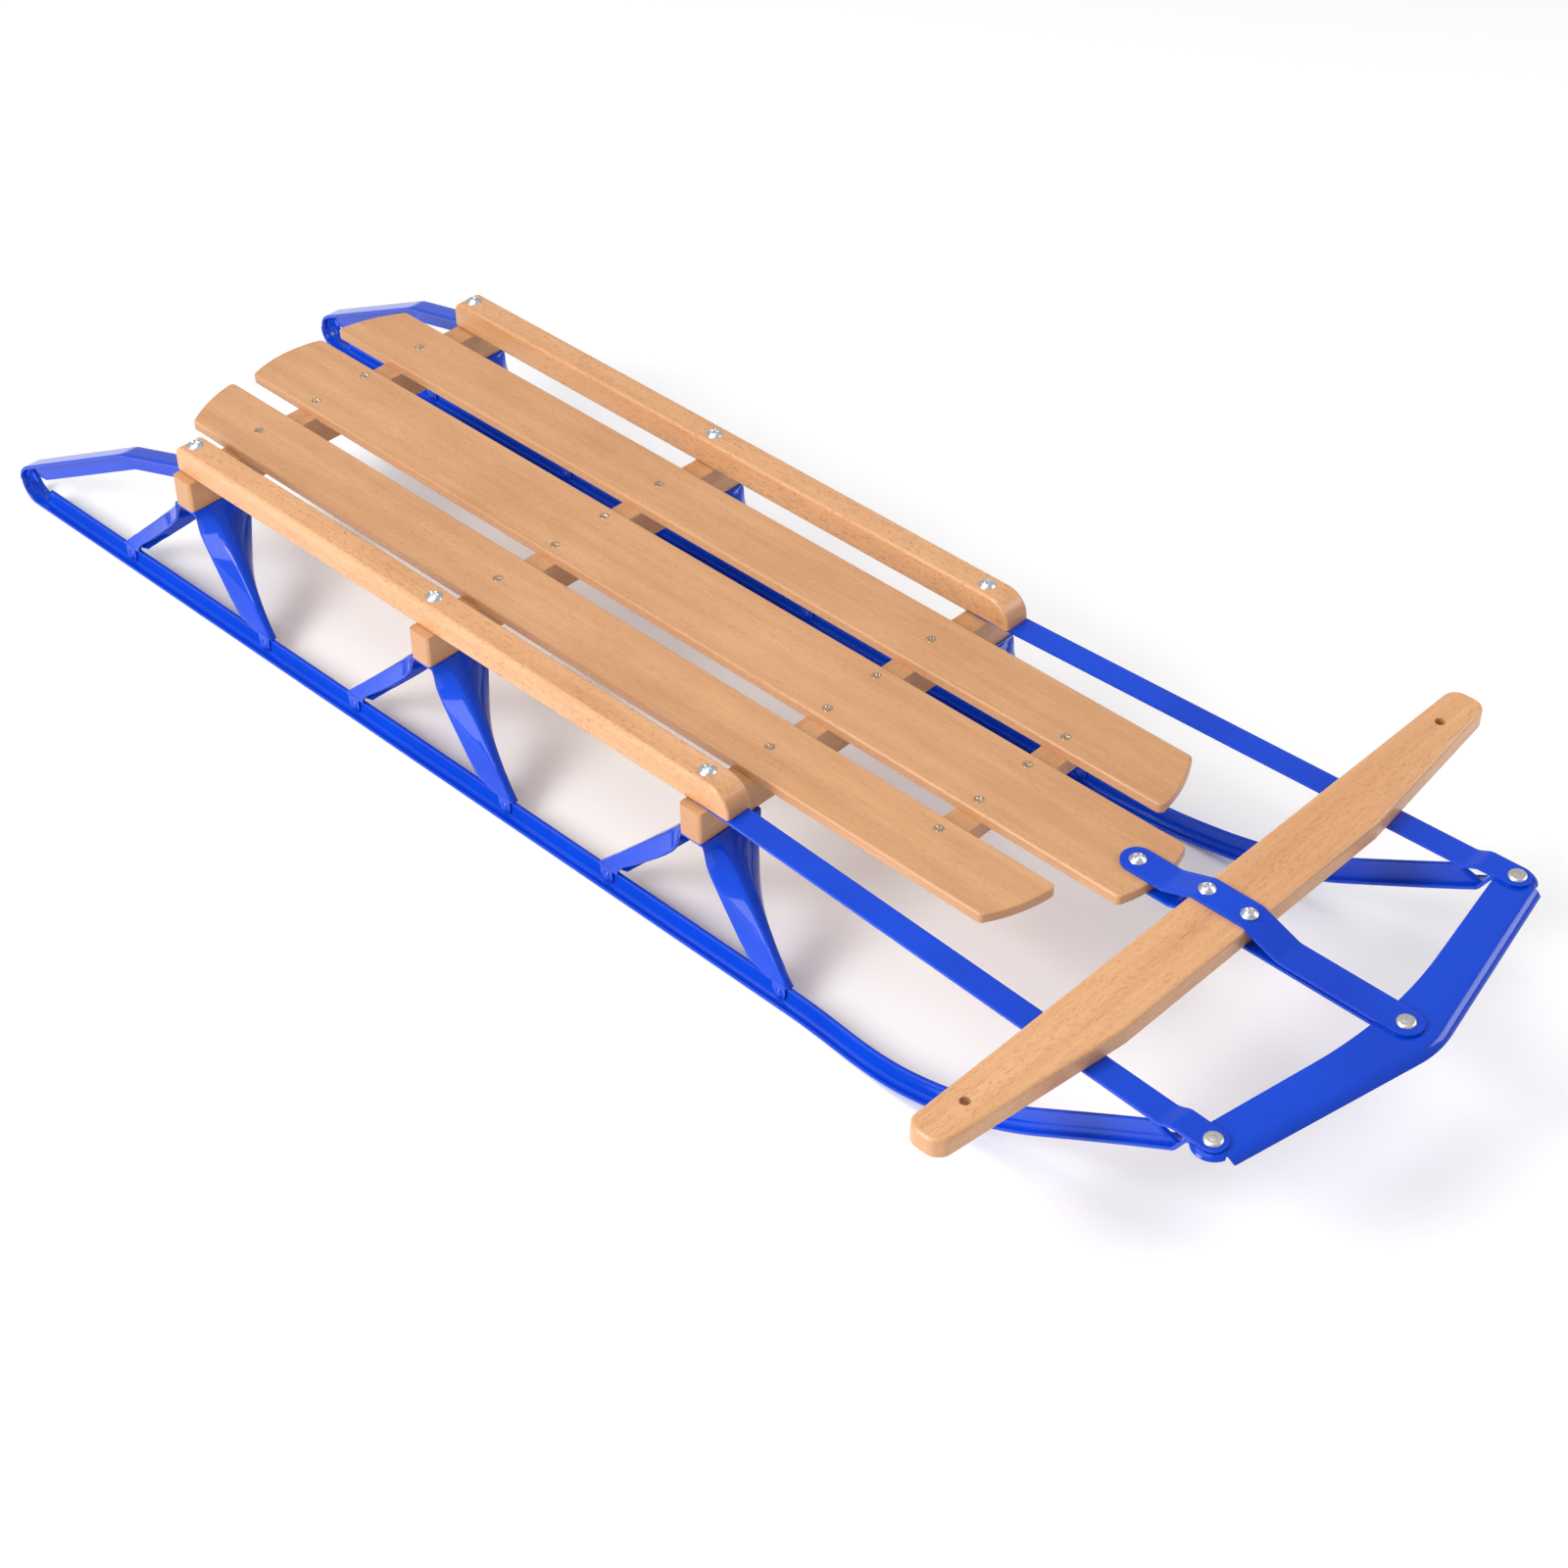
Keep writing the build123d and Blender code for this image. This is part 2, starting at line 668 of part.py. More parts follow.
with BuildPart() as steering_bar:
    with BuildSketch(Plane.XY.offset(bar_bottom)):
        with BuildLine():
            Polyline(
                (-bar_half_length, bar_back),
                (bar_half_length, bar_back),
                (bar_half_length, bar_tip_front),
                (bar_full_depth_to, bar_front),
                (-bar_full_depth_to, bar_front),
                (-bar_half_length, bar_tip_front),
                close=True,
            )
        make_face()
        tips = vertices().group_by(Axis.X)
        fillet(tips[0] + tips[-1], bar_tip_round)
    extrude(amount=bar_thick)
    fillet(faces().sort_by(Axis.Z)[-1].edges(), bar_edge_round)
    with Locations(*[(s * rope_hole_x, ahead(rope_hole_ahead), bar_top) for s in (-1, 1)]):
        Hole(rope_hole_radius)
    with Locations(*[(0, y, bar_top) for y in bar_bolts_y]):
        Hole(bolt_hole)
finish(steering_bar, "steering_bar")

strap_back = pivot_y + steering_strap_width / 2
strap_front = apex_y - steering_strap_width / 2
bar_near = bar_back + strap_bend_margin
bar_far = bar_front - strap_bend_margin


def steering_strap(levels):
    """A flat strap with rounded ends whose underside follows (y, z) levels."""
    under = [(strap_back, levels[0][1])] + levels + [(strap_front, levels[-1][1])]
    over = [(y, z + strap_thick) for y, z in reversed(under)]
    with BuildPart() as strap:
        with BuildSketch(Plane.YZ):
            with BuildLine():
                Polyline(*(under + over), close=True)
            make_face()
        extrude(amount=steering_strap_width / 2, both=True)
        with BuildSketch(Plane.XY):
            with Locations((0, (pivot_y + apex_y) / 2)):
                SlotCenterToCenter(pivot_y - apex_y, steering_strap_width, rotation=90)
        extrude(amount=2 * rail_top, mode=Mode.INTERSECT)
        with Locations(*[(0, y, rail_top) for y in [pivot_y] + bar_bolts_y + [apex_y]]):
            Hole(bolt_hole)
    return strap


steering_strap_upper = steering_strap(
    [
        (bar_near + strap_rise_run, deck_top),
        (bar_near, bar_top),
        (bar_far, bar_top),
        (bar_far - strap_fall_run, bumper_top),
    ]
)
finish(steering_strap_upper, "steering_strap_upper")
steering_strap_lower = steering_strap(
    [
        (bar_back + 2 * strap_under_bar_run, bench_top - strap_thick),
        (bar_back + strap_under_bar_run, bar_bottom - strap_thick),
    ]
)
finish(steering_strap_lower, "steering_strap_lower")

# ---------------------------------------------------------------- fasteners
def domed(radius, height, shank, bottom, top, tail=None):
    """A domed head on a shank, from top down to bottom, with a flat tail if it is a rivet."""
    sphere = (radius**2 + height**2) / (2 * height)
    half_angle = asin(radius / sphere) / 2
    cap_middle = (sphere * sin(half_angle), top + height - sphere * (1 - cos(half_angle)))
    with BuildPart() as piece:
        with BuildSketch(Plane.XZ):
            with BuildLine():
                Line((0, top), (radius, top))
                ThreePointArc((radius, top), cap_middle, (0, top + height))
                Line((0, top + height), (0, top))
            make_face()
        revolve(axis=Axis.Z)
        with BuildSketch(Plane.XY.offset(bottom)):
            Circle(shank)
        extrude(amount=top - bottom)
        if tail:
            with BuildSketch(Plane.XY.offset(bottom)):
                Circle(tail)
            extrude(amount=-rivet_tail_height)
        else:
            with BuildSketch(Plane.XY.offset(top + height)):
                Rectangle(radius, recess_width)
                Rectangle(recess_width, radius)
            extrude(amount=-recess_depth, mode=Mode.SUBTRACT)
    return piece.part


def hex_nut(top):
    """A hexagon nut that hangs below this level."""
    with BuildPart() as nut:
        with BuildSketch(Plane.XY.offset(top)):
            RegularPolygon(nut_across_flats / 2, 6, major_radius=False)
            Circle(swing_hole, mode=Mode.SUBTRACT)
        extrude(amount=-nut_height)
    return nut.part


def group(part, places, name):
    """One node that holds a copy of a fastener at each place."""
    with BuildPart() as copies:
        with Locations(*places):
            add(part)
    finish(copies, name)


tail = nut_height + bolt_tail
rail_places = [(s * rail_centre_x, y, 0) for s in (-1, 1) for y in bench_ys]
bar_places = [(0, y, 0) for y in bar_bolts_y]
rail_bolt = domed(rail_bolt_head_radius, rail_bolt_head_height, bolt_radius, plate_bottom - tail, rail_top)
group(rail_bolt, rail_places, "rail_bolts")
group(hex_nut(plate_bottom), rail_places, "rail_nuts")

under_bar = bar_bottom - strap_thick
over_bar = bar_top + strap_thick
bar_bolt = domed(bar_bolt_head_radius, bar_bolt_head_height, bolt_radius, under_bar - tail, over_bar)
group(bar_bolt, bar_places, "bar_bolts")
group(hex_nut(under_bar), bar_places, "bar_nuts")

under_slat = bench_top - strap_thick
over_slat = deck_top + strap_thick
pivot_bolt = domed(bar_bolt_head_radius, bar_bolt_head_height, bolt_radius, under_slat - tail, over_slat)
group(pivot_bolt, [(0, pivot_y, 0)], "pivot_bolt")
group(hex_nut(under_slat), [(0, pivot_y, 0)], "pivot_nut")

over_side_strap = strap_end_z + strap_thick
end_rivet = domed(
    rivet_head_radius,
    rivet_head_height,
    bolt_radius,
    tongue_bottom,
    over_side_strap,
    rivet_tail_radius,
)
group(end_rivet, [(side_strap_end_x, strap_end_y, 0)], "bumper_rivet_left")
group(end_rivet, [(-side_strap_end_x, strap_end_y, 0)], "bumper_rivet_right")
centre_rivet = domed(
    rivet_head_radius,
    rivet_head_height,
    bolt_radius,
    under_bar,
    bumper_top + strap_thick,
    rivet_tail_radius,
)
group(centre_rivet, [(0, apex_y, 0)], "bumper_rivet_centre")

with BuildPart() as screw:
    with BuildSketch(Plane.XZ):
        with BuildLine():
            Polyline(
                (0, deck_top),
                (screw_head_radius, deck_top),
                (screw_radius, deck_top - screw_head_radius + screw_radius),
                (screw_radius, deck_top - screw_length + screw_radius),
                (0, deck_top - screw_length),
                close=True,
            )
        make_face()
    revolve(axis=Axis.Z)
    with BuildSketch(Plane.XY.offset(deck_top)):
        Rectangle(screw_head_radius * 1.2, recess_width)
        Rectangle(recess_width, screw_head_radius * 1.2)
    extrude(amount=-recess_depth, mode=Mode.SUBTRACT)
screw_places = [(x, y, 0) for x, y in centre_screws]
screw_places += [(s * x, y, 0) for s in (-1, 1) for x, y in outer_screws]
group(screw.part, screw_places, "deck_screws")

with BuildPart() as foot_rivet:
    for face_x, outward in ((ear_outer, 1), (ear_inner, -1)):
        with BuildSketch(Plane.YZ.offset(face_x)):
            Circle(knee_rivet_head_radius)
        extrude(amount=outward * knee_rivet_head_height, taper=30)
    with BuildSketch(Plane.YZ.offset(ear_inner)):
        Circle(knee_rivet_radius - screw_clearance)
    extrude(amount=ear_outer - ear_inner)
with BuildPart() as left_rivets:
    with Locations(*[(0, y, z) for y, z in foot_rivet_places]):
        add(foot_rivet.part)
with BuildPart() as knee_rivets:
    add(left_rivets.part)
    mirror(left_rivets.part, about=Plane.YZ)
finish(knee_rivets, "knee_rivets")
print(len(made), "nodes")
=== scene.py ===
# %% [markdown]
# # A steerable sled, piece by piece
# The sled is a beech deck on six pressed steel knees and two steel runners that
# curl up in front and loop back behind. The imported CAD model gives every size
# and every moving body, and this lesson makes the surfaces around it: pressed
# steel, enamel, lacquered beech and bright fasteners.

import math

import bmesh
import bpy
import numpy as np
from mathutils import Matrix, Vector


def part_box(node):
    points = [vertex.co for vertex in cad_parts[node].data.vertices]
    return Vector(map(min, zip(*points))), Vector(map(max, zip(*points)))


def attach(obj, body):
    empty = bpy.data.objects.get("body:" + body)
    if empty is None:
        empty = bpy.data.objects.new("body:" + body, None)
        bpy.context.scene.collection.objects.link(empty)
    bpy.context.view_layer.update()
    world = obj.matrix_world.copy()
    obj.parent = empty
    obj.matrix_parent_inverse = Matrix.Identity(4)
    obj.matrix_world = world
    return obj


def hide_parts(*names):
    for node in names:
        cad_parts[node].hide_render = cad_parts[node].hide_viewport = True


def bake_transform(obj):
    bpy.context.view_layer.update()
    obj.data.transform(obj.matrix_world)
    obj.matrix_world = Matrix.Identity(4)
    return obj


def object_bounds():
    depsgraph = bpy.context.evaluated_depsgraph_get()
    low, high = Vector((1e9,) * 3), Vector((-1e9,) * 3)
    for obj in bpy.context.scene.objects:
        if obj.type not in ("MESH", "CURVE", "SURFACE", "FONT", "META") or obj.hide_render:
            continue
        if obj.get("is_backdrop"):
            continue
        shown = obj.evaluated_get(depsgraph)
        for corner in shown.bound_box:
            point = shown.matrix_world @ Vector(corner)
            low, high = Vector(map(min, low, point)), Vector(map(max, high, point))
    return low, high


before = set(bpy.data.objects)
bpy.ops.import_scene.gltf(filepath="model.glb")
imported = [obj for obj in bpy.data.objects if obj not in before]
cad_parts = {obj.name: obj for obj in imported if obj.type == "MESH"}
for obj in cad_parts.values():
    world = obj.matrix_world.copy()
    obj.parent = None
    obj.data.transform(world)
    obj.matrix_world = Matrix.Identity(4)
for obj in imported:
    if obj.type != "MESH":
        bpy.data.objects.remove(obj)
cad_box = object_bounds()
print("CAD box", cad_box)

# %% [markdown]
# Lengths below are in millimetres, as on a workshop drawing, and become metres
# when a mesh is made. "Ahead" counts from the middle bench towards the bumper,
# so all places follow the CAD model.

# %% Places taken from the CAD model
MM = 0.001


def centre_of(node):
    """The middle of a CAD node's box, in millimetres."""
    low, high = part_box(node)
    return [(a + b) / 2 / MM for a, b in zip(low, high)]


bench_y = {where: centre_of(f"bench_{where}")[1] for where in ("front", "middle", "rear")}
middle_y = bench_y["middle"]


def ahead(distance):
    """The y that lies this far in front of the middle bench."""
    return middle_y - distance


deck_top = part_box("slat_centre")[1][2] / MM
bench_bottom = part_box("bench_middle")[0][2] / MM
bench_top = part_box("bench_middle")[1][2] / MM
bench_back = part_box("bench_rear")[1][1] / MM
rail_x = centre_of("side_rail_left")[0]
rail_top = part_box("side_rail_left")[1][2] / MM
rail_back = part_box("side_rail_left")[1][1] / MM
bar_back, bar_top = (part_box("steering_bar")[1][axis] / MM for axis in (1, 2))
bar_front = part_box("steering_bar")[0][1] / MM
pivot_y = centre_of("pivot_bolt")[1]
apex_y = centre_of("bumper_rivet_centre")[1]
end_x, end_y = centre_of("bumper_rivet_left")[:2]
bumper_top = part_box("bumper")[1][2] / MM
runner_x = centre_of("runner_left")[0]
SIDES = (("left", 1), ("right", -1))
STRAP_THICK = 2.5
print("benches at", bench_y, "runner at", runner_x)

# %% [markdown]
# ## Camera, floor and light
# The eye stands in front of the sled's right corner and well above it, with a
# long lens, so lines that are parallel stay nearly parallel. The camera comes
# first, because everything else is judged through it.

# %% Camera
EYE = Vector((-1306.3, -1496.79, 1575.7))       # from the ground under the middle bench
EYE_BACKWARDS = Vector((-0.5430, -0.5283, 0.6528))
EYE_ROLL = math.radians(-0.36)

camera_data = bpy.data.cameras.new("eye")
camera_data.lens = 70.0
camera_data.sensor_width = 36.0
camera_data.clip_end = 20.0
camera = bpy.data.objects.new("eye", camera_data)
bpy.context.scene.collection.objects.link(camera)
turned = EYE_BACKWARDS.to_track_quat("Z", "Y").to_matrix().to_4x4()
camera.matrix_world = (
    Matrix.Translation((EYE + Vector((0, middle_y, 0))) * MM)
    @ turned
    @ Matrix.Rotation(EYE_ROLL, 4, "Z")
)
bpy.context.scene.camera = camera

# %% [markdown]
# The floor is one large pale sheet that fades into a pale room, so no horizon
# cuts through the view. One broad lamp high on the sled's right does most of the
# work, and paler lamps in front and behind keep the far sides readable.

# %% Floor, room and lamps
ROOM_LIGHT = 0.54
LAMPS = (                       # place in metres, size in metres, watts
    ((-2.2, 0.5, 1.7), 1.3, 54.0),
    ((-0.4, 0.6, 3.2), 2.4, 42.0),
    ((1.8, -1.6, 1.2), 1.0, 16.0),
    ((-1.9, 0.0, 0.5), 0.9, 11.0),
)

world = bpy.data.worlds.new("pale_room")
world.use_nodes = True
world.node_tree.nodes["Background"].inputs["Color"].default_value = (1.0, 1.0, 1.0, 1.0)
world.node_tree.nodes["Background"].inputs["Strength"].default_value = ROOM_LIGHT
bpy.context.scene.world = world
bpy.context.scene.view_settings.view_transform = "Standard"

for number, (place, size, watts) in enumerate(LAMPS):
    lamp_data = bpy.data.lights.new(f"lamp_{number}", "AREA")
    lamp_data.shape = "SQUARE"
    lamp_data.size = size
    lamp_data.energy = watts
    lamp = bpy.data.objects.new(f"lamp_{number}", lamp_data)
    lamp.location = place
    lamp.rotation_euler = Vector(place).to_track_quat("Z", "Y").to_euler()
    bpy.context.scene.collection.objects.link(lamp)

# %% [markdown]
# ## Writing shaders as sums
# A finish is a small network of nodes. Wiring it by hand hides the thought
# behind it, so a `Wire` stands for a socket and adds a Math node whenever it
# meets a plus, minus, times or greater-than sign. Every other node comes from
# `Finish.node`.


# %% Wires and finishes
class Wire:
    """A socket that can stand in a sum."""

    def __init__(self, finish, socket):
        self.finish = finish
        self.socket = socket

    def worked_out(self, operation, first, second):
        values = {0: first, 1: second}
        return self.finish.node("ShaderNodeMath", {"operation": operation}, values)

    def __add__(self, other):
        return self.worked_out("ADD", self, other)

    def __sub__(self, other):
        return self.worked_out("SUBTRACT", self, other)

    def __rsub__(self, other):
        return self.worked_out("SUBTRACT", other, self)

    def __mul__(self, other):
        return self.worked_out("MULTIPLY", self, other)

    def __gt__(self, limit):
        return self.worked_out("GREATER_THAN", self, limit)

    __radd__ = __add__
    __rmul__ = __mul__


class Finish:
    """A material, and one method that adds any node to it."""

    def __init__(self, name, **constants):
        self.material = bpy.data.materials.new(name)
        self.material.use_nodes = True
        self.tree = self.material.node_tree
        self.shader = self.tree.nodes["Principled BSDF"]
        for socket, value in constants.items():
            self.shader.inputs[socket.replace("_", " ")].default_value = value

    def node(self, kind, settings=None, values=None, output=0):
        """Adds a node: first its settings, then the values or wires of its sockets."""
        node = self.tree.nodes.new(kind)
        for key, value in (settings or {}).items():
            if key == "stops":
                self.set_stops(node.color_ramp.elements, value)
            else:
                setattr(node, key, value)
        for key, value in (values or {}).items():
            self.plug(node.inputs[key], value)
        return Wire(self, node.outputs[output])

    @staticmethod
    def set_stops(elements, stops):
        while len(elements) < len(stops):
            elements.new(0.5)
        for element, (place, colour) in zip(elements, stops):
            element.position = place
            element.color = (*colour, 1.0)

    def plug(self, socket, value):
        if isinstance(value, Wire):
            self.tree.links.new(value.socket, socket)
        else:
            socket.default_value = value

    def feed(self, **wires):
        for socket, value in wires.items():
            self.plug(self.shader.inputs[socket.replace("_", " ")], value)

    def place_on_piece(self):
        """Object coordinates, in metres."""
        return self.node("ShaderNodeTexCoord", output=3)

    def ramp(self, factor, *stops):
        return self.node("ShaderNodeValToRGB", {"stops": stops}, {0: factor})

    def blend(self, factor, first, second):
        """One colour turned into another, by a factor."""
        values = {0: factor, 6: first, 7: second}
        return self.node("ShaderNodeMix", {"data_type": "RGBA"}, values, 2)

    def noise(self, place, scale, detail=2.0, roughness=0.5):
        values = {"Vector": place, "Scale": scale, "Detail": detail, "Roughness": roughness}
        return self.node("ShaderNodeTexNoise", None, values)

    def bump(self, height, strength, distance):
        values = {"Height": height, "Strength": strength, "Distance": distance}
        return self.node("ShaderNodeBump", None, values)


# %% [markdown]
# ## Lacquered beech
# Beech is pale and even. What gives it away is its fine dark flecks, one to
# three millimetres long and hair thin, which lie along the grain, over slow
# streaks of a slightly darker tan. Stretching the pattern's coordinates along
# the board does both. A board shows more flecks on the face where its rays are
# cut across, so rails and the bar get more than the slats. Cut ends are darker,
# because end grain drinks the lacquer.

# %% Beech
BEECH_PALE = (0.590, 0.322, 0.158)
BEECH_DEEP = (0.440, 0.205, 0.086)
BEECH_FLECK = (0.230, 0.090, 0.034)
BEECH_END = (0.400, 0.190, 0.080)


def beech(name, along, flecks, depth, seed, paler=1.0):
    """Lacquered beech whose grain runs along axis 0 or 1, with more or fewer flecks."""
    pale, deep = ([channel * paler for channel in tone] for tone in (BEECH_PALE, BEECH_DEEP))
    finish = Finish(name, Coat_Weight=0.25, Coat_Roughness=0.22, Specular_IOR_Level=0.45)
    place = finish.place_on_piece()
    shift = (seed * 0.37, seed * 0.61, seed * 0.23)

    def drawn_out(share):
        """Coordinates that run slower along the board, which draws a pattern out."""
        scale = [1.0, 1.0, 1.0]
        scale[along] = share
        values = {"Vector": place, "Location": shift, "Scale": scale}
        return finish.node("ShaderNodeMapping", None, values)

    grain, fleck_place = drawn_out(0.045), drawn_out(0.15)

    streaks = finish.noise(grain, 62.0, 3.0, 0.55)
    threads = finish.noise(grain, 520.0, 2.0, 0.6)
    clouds = finish.noise(place, 7.0, 2.0)
    tone = streaks * 0.55 + threads * 0.34 + clouds * 0.36
    wood = finish.ramp(tone, (0.42, pale), (0.88, deep))

    dots = finish.noise(fleck_place, 1500.0, 1.0)
    gather = finish.noise(grain, 38.0, 1.0)
    fleck_mask = finish.ramp(dots + gather * 0.18, (0.68, (0, 0, 0)), (0.79, (1, 1, 1)))
    fleck_strength = fleck_mask * flecks
    wood = finish.blend(fleck_strength, wood, (*BEECH_FLECK, 1.0))

    normal = finish.node("ShaderNodeNewGeometry", output=1)
    facing = finish.node("ShaderNodeSeparateXYZ", None, {0: normal}, along)
    cut = facing * facing > 0.55
    wood = finish.blend(cut * depth, wood, (*BEECH_END, 1.0))

    relief = threads * 0.5 + streaks * 0.3 - fleck_strength * 0.8
    finish.feed(
        Base_Color=wood,
        Roughness=threads * 0.16 + 0.30,
        Normal=finish.bump(relief, 0.22, 0.0004),
    )
    return finish.material


slat_beech = beech("beech_slat", 1, 0.28, 0.55, 1)
rail_beech = beech("beech_rail", 1, 0.60, 0.45, 2, 1.10)
bar_beech = beech("beech_bar", 0, 0.40, 0.35, 3, 1.14)
bench_beech = beech("beech_bench", 0, 0.35, 0.60, 4)

# %% [markdown]
# ## Enamel, zinc and nickel
# The steel is dipped or sprayed with a thick glossy enamel. Its colour is one
# even royal blue, and only its skin varies: a faint orange peel and a slow drift
# in gloss. Zinc plate is bright and a little cloudy with fine brush marks, and
# the rivet heads are duller nickel with a worn rim.

# %% Enamel
ENAMEL_BLUE = (0.001, 0.050, 0.520)
ENAMEL_SHADE = (0.001, 0.037, 0.430)

enamel_finish = Finish(
    "blue_enamel", Coat_Weight=0.55, Coat_Roughness=0.05, Specular_IOR_Level=0.06
)
enamel_place = enamel_finish.place_on_piece()
drift = enamel_finish.noise(enamel_place, 11.0, 2.0)
peel = enamel_finish.noise(enamel_place, 420.0, 1.0)
dust = enamel_finish.noise(enamel_place, 1500.0, 0.0)
tint = enamel_finish.ramp(drift, (0.35, ENAMEL_BLUE), (0.75, ENAMEL_SHADE))
speck = enamel_finish.ramp(dust, (0.76, (0, 0, 0)), (0.80, (1, 1, 1)))
enamel_finish.feed(
    Base_Color=enamel_finish.blend(speck * 0.25, tint, (0.06, 0.16, 0.80, 1.0)),
    Roughness=drift * 0.14 + 0.16,
    Normal=enamel_finish.bump(peel + speck * 0.5, 0.10, 0.0003),
)
enamel = enamel_finish.material


# %% Zinc, nickel and screw bronze
def metal(name, bright, dull, rough, scale):
    """A plated metal: clouded in colour and gloss, with fine scratches."""
    finish = Finish(name, Metallic=1.0)
    place = finish.place_on_piece()
    cloud = finish.noise(place, scale, 3.0, 0.6)
    scratch = finish.noise(place, scale * 9, 2.0)
    finish.feed(
        Base_Color=finish.ramp(cloud, (0.30, bright), (0.72, dull)),
        Roughness=cloud * 0.22 + rough,
        Normal=finish.bump(scratch, 0.12, 0.0001),
    )
    return finish.material


zinc = metal("zinc_plate", (0.78, 0.80, 0.84), (0.50, 0.52, 0.57), 0.20, 420.0)
nickel = metal("rivet_nickel", (0.80, 0.78, 0.76), (0.52, 0.50, 0.48), 0.26, 520.0)
bronze = metal("screw_bronze", (0.80, 0.64, 0.48), (0.34, 0.22, 0.14), 0.20, 900.0)

floor_finish = Finish(
    "pale_floor", Roughness=0.9, Base_Color=(0.93, 0.93, 0.93, 1.0), Specular_IOR_Level=0.1
)

# %% [markdown]
# ## From points to pieces
# Every pressed or bent piece below is first a net of points in rows. Stitching
# the rows gives a mesh with even quads, which takes thickness, a bevel and
# smooth shading well. `settle` turns modifiers into plain geometry.


# %% Mesh helpers
def stitched(rows, closed=False):
    """Quads between neighbouring rows of a net, as index lists."""
    count = len(rows[0])
    faces = []
    for row in range(len(rows) - 1):
        for column in range(count if closed else count - 1):
            after = (column + 1) % count
            low, high = row * count, (row + 1) * count
            faces.append((low + column, low + after, high + after, high + column))
    return faces


def add_mesh(name, points, faces, material):
    """A mesh object from millimetre points."""
    mesh = bpy.data.meshes.new(name)
    mesh.from_pydata([tuple(float(v) * MM for v in point) for point in points], [], faces)
    mesh.materials.append(material)
    piece = bpy.data.objects.new(name, mesh)
    bpy.context.scene.collection.objects.link(piece)
    return piece


def settle(piece, smooth_below=35.0):
    """Makes the modifiers plain geometry, points the faces outwards and smooths them."""
    bpy.context.view_layer.update()
    shown = piece.evaluated_get(bpy.context.evaluated_depsgraph_get())
    mesh = bpy.data.meshes.new_from_object(shown)
    piece.modifiers.clear()
    piece.data = mesh
    tidy = bmesh.new()
    tidy.from_mesh(mesh)
    bmesh.ops.remove_doubles(tidy, verts=tidy.verts, dist=0.00001)
    bmesh.ops.recalc_face_normals(tidy, faces=tidy.faces)
    tidy.to_mesh(mesh)
    tidy.free()
    mesh.shade_smooth()
    mesh.set_sharp_from_angle(angle=math.radians(smooth_below))
    return piece


def thicken(piece, thickness, edge, side=-1.0):
    """Gives a sheet its thickness and takes the sharpness off its rim."""
    wall = piece.modifiers.new("wall", "SOLIDIFY")
    wall.thickness = thickness * MM
    wall.offset = side
    rim = piece.modifiers.new("rim", "BEVEL")
    rim.width = edge * MM
    rim.segments = 2
    rim.limit_method = "ANGLE"
    rim.angle_limit = math.radians(50)
    return settle(piece)


def joined(name, pieces):
    """Several meshes as one, with their materials kept."""
    points, faces, slots, materials = [], [], [], []
    for piece in pieces:
        start = len(points)
        points += [vertex.co / MM for vertex in piece.data.vertices]
        for face in piece.data.polygons:
            faces.append([start + v for v in face.vertices])
            material = piece.data.materials[face.material_index]
            if material not in materials:
                materials.append(material)
            slots.append(materials.index(material))
        bpy.data.objects.remove(piece)
    whole = add_mesh(name, points, faces, materials[0])
    for material in materials[1:]:
        whole.data.materials.append(material)
    whole.data.polygons.foreach_set("material_index", slots)
    return settle(whole)


def eased(values, passes=1):
    """The same series with its corners rounded off, its two ends kept."""
    values = np.array(values, float)
    for _ in range(passes):
        values[1:-1] = (values[:-2] + 2 * values[1:-1] + values[2:]) / 4
    return values


# %% [markdown]
# ## Fasteners
# Bolts, screws and rivets are turned parts, so each is a profile spun about an
# axis, and a cross recess is pressed into its head. A Geometry Nodes tree then
# sets one copy out on every marked point, turns each by a random but fixed
# amount, and gives it its metal. That is less work than placing two dozen
# copies, and one change to the profile changes them all.


# %% A turned head with a cross recess
def turned(name, profile, sides, material, recess=None):
    """A profile of (radius, height) points spun about Z, from its top down."""
    angles = np.linspace(0, 2 * math.pi, sides, endpoint=False)
    points, faces = [], []
    for radius, height in profile:
        for angle in angles:
            x, y, z = radius * math.cos(angle), radius * math.sin(angle), height
            if recess:
                half, reach, depth = recess
                arm = min(abs(x), abs(y)) < half and max(abs(x), abs(y)) < reach
                z -= depth * (1 - 0.55 * radius / reach) if arm and height > 0 else 0
            points.append((x, y, z))
    rows = [points[i * sides : (i + 1) * sides] for i in range(len(profile))]
    faces = stitched(rows, closed=True)
    faces.append(tuple(range(sides)))
    faces.append(tuple(range(len(points) - 1, len(points) - 1 - sides, -1)))
    return settle(add_mesh(name, points, faces, material), 40.0)


def dome(radius, height, rings, rim=0.35):
    """Profile points of a low dome from its middle to its rim."""
    ball = (radius**2 + height**2) / (2 * height)
    widths = radius * np.sin(np.linspace(0.04, math.pi / 2, rings))
    arc = [
        (width, rim + height - (ball - math.sqrt(ball**2 - width**2)) - rim * width / radius)
        for width in widths
    ]
    return arc + [(radius * 0.995, rim * 0.4), (radius * 0.97, 0.0)]


bolt_reach = rail_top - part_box("rail_bolts")[0][2] / MM
bar_reach = bar_top + STRAP_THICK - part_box("bar_bolts")[0][2] / MM
pivot_reach = deck_top + STRAP_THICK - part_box("pivot_bolt")[0][2] / MM
rail_dome = dome(7.0, 3.0, 16)
bar_dome = dome(6.5, 3.2, 16)


def shank(radius, length):
    """Profile points of a bolt's body under its head, with a chamfered tail."""
    return [(radius, 0.0), (radius, 1 - length), (radius - 0.8, -length)]


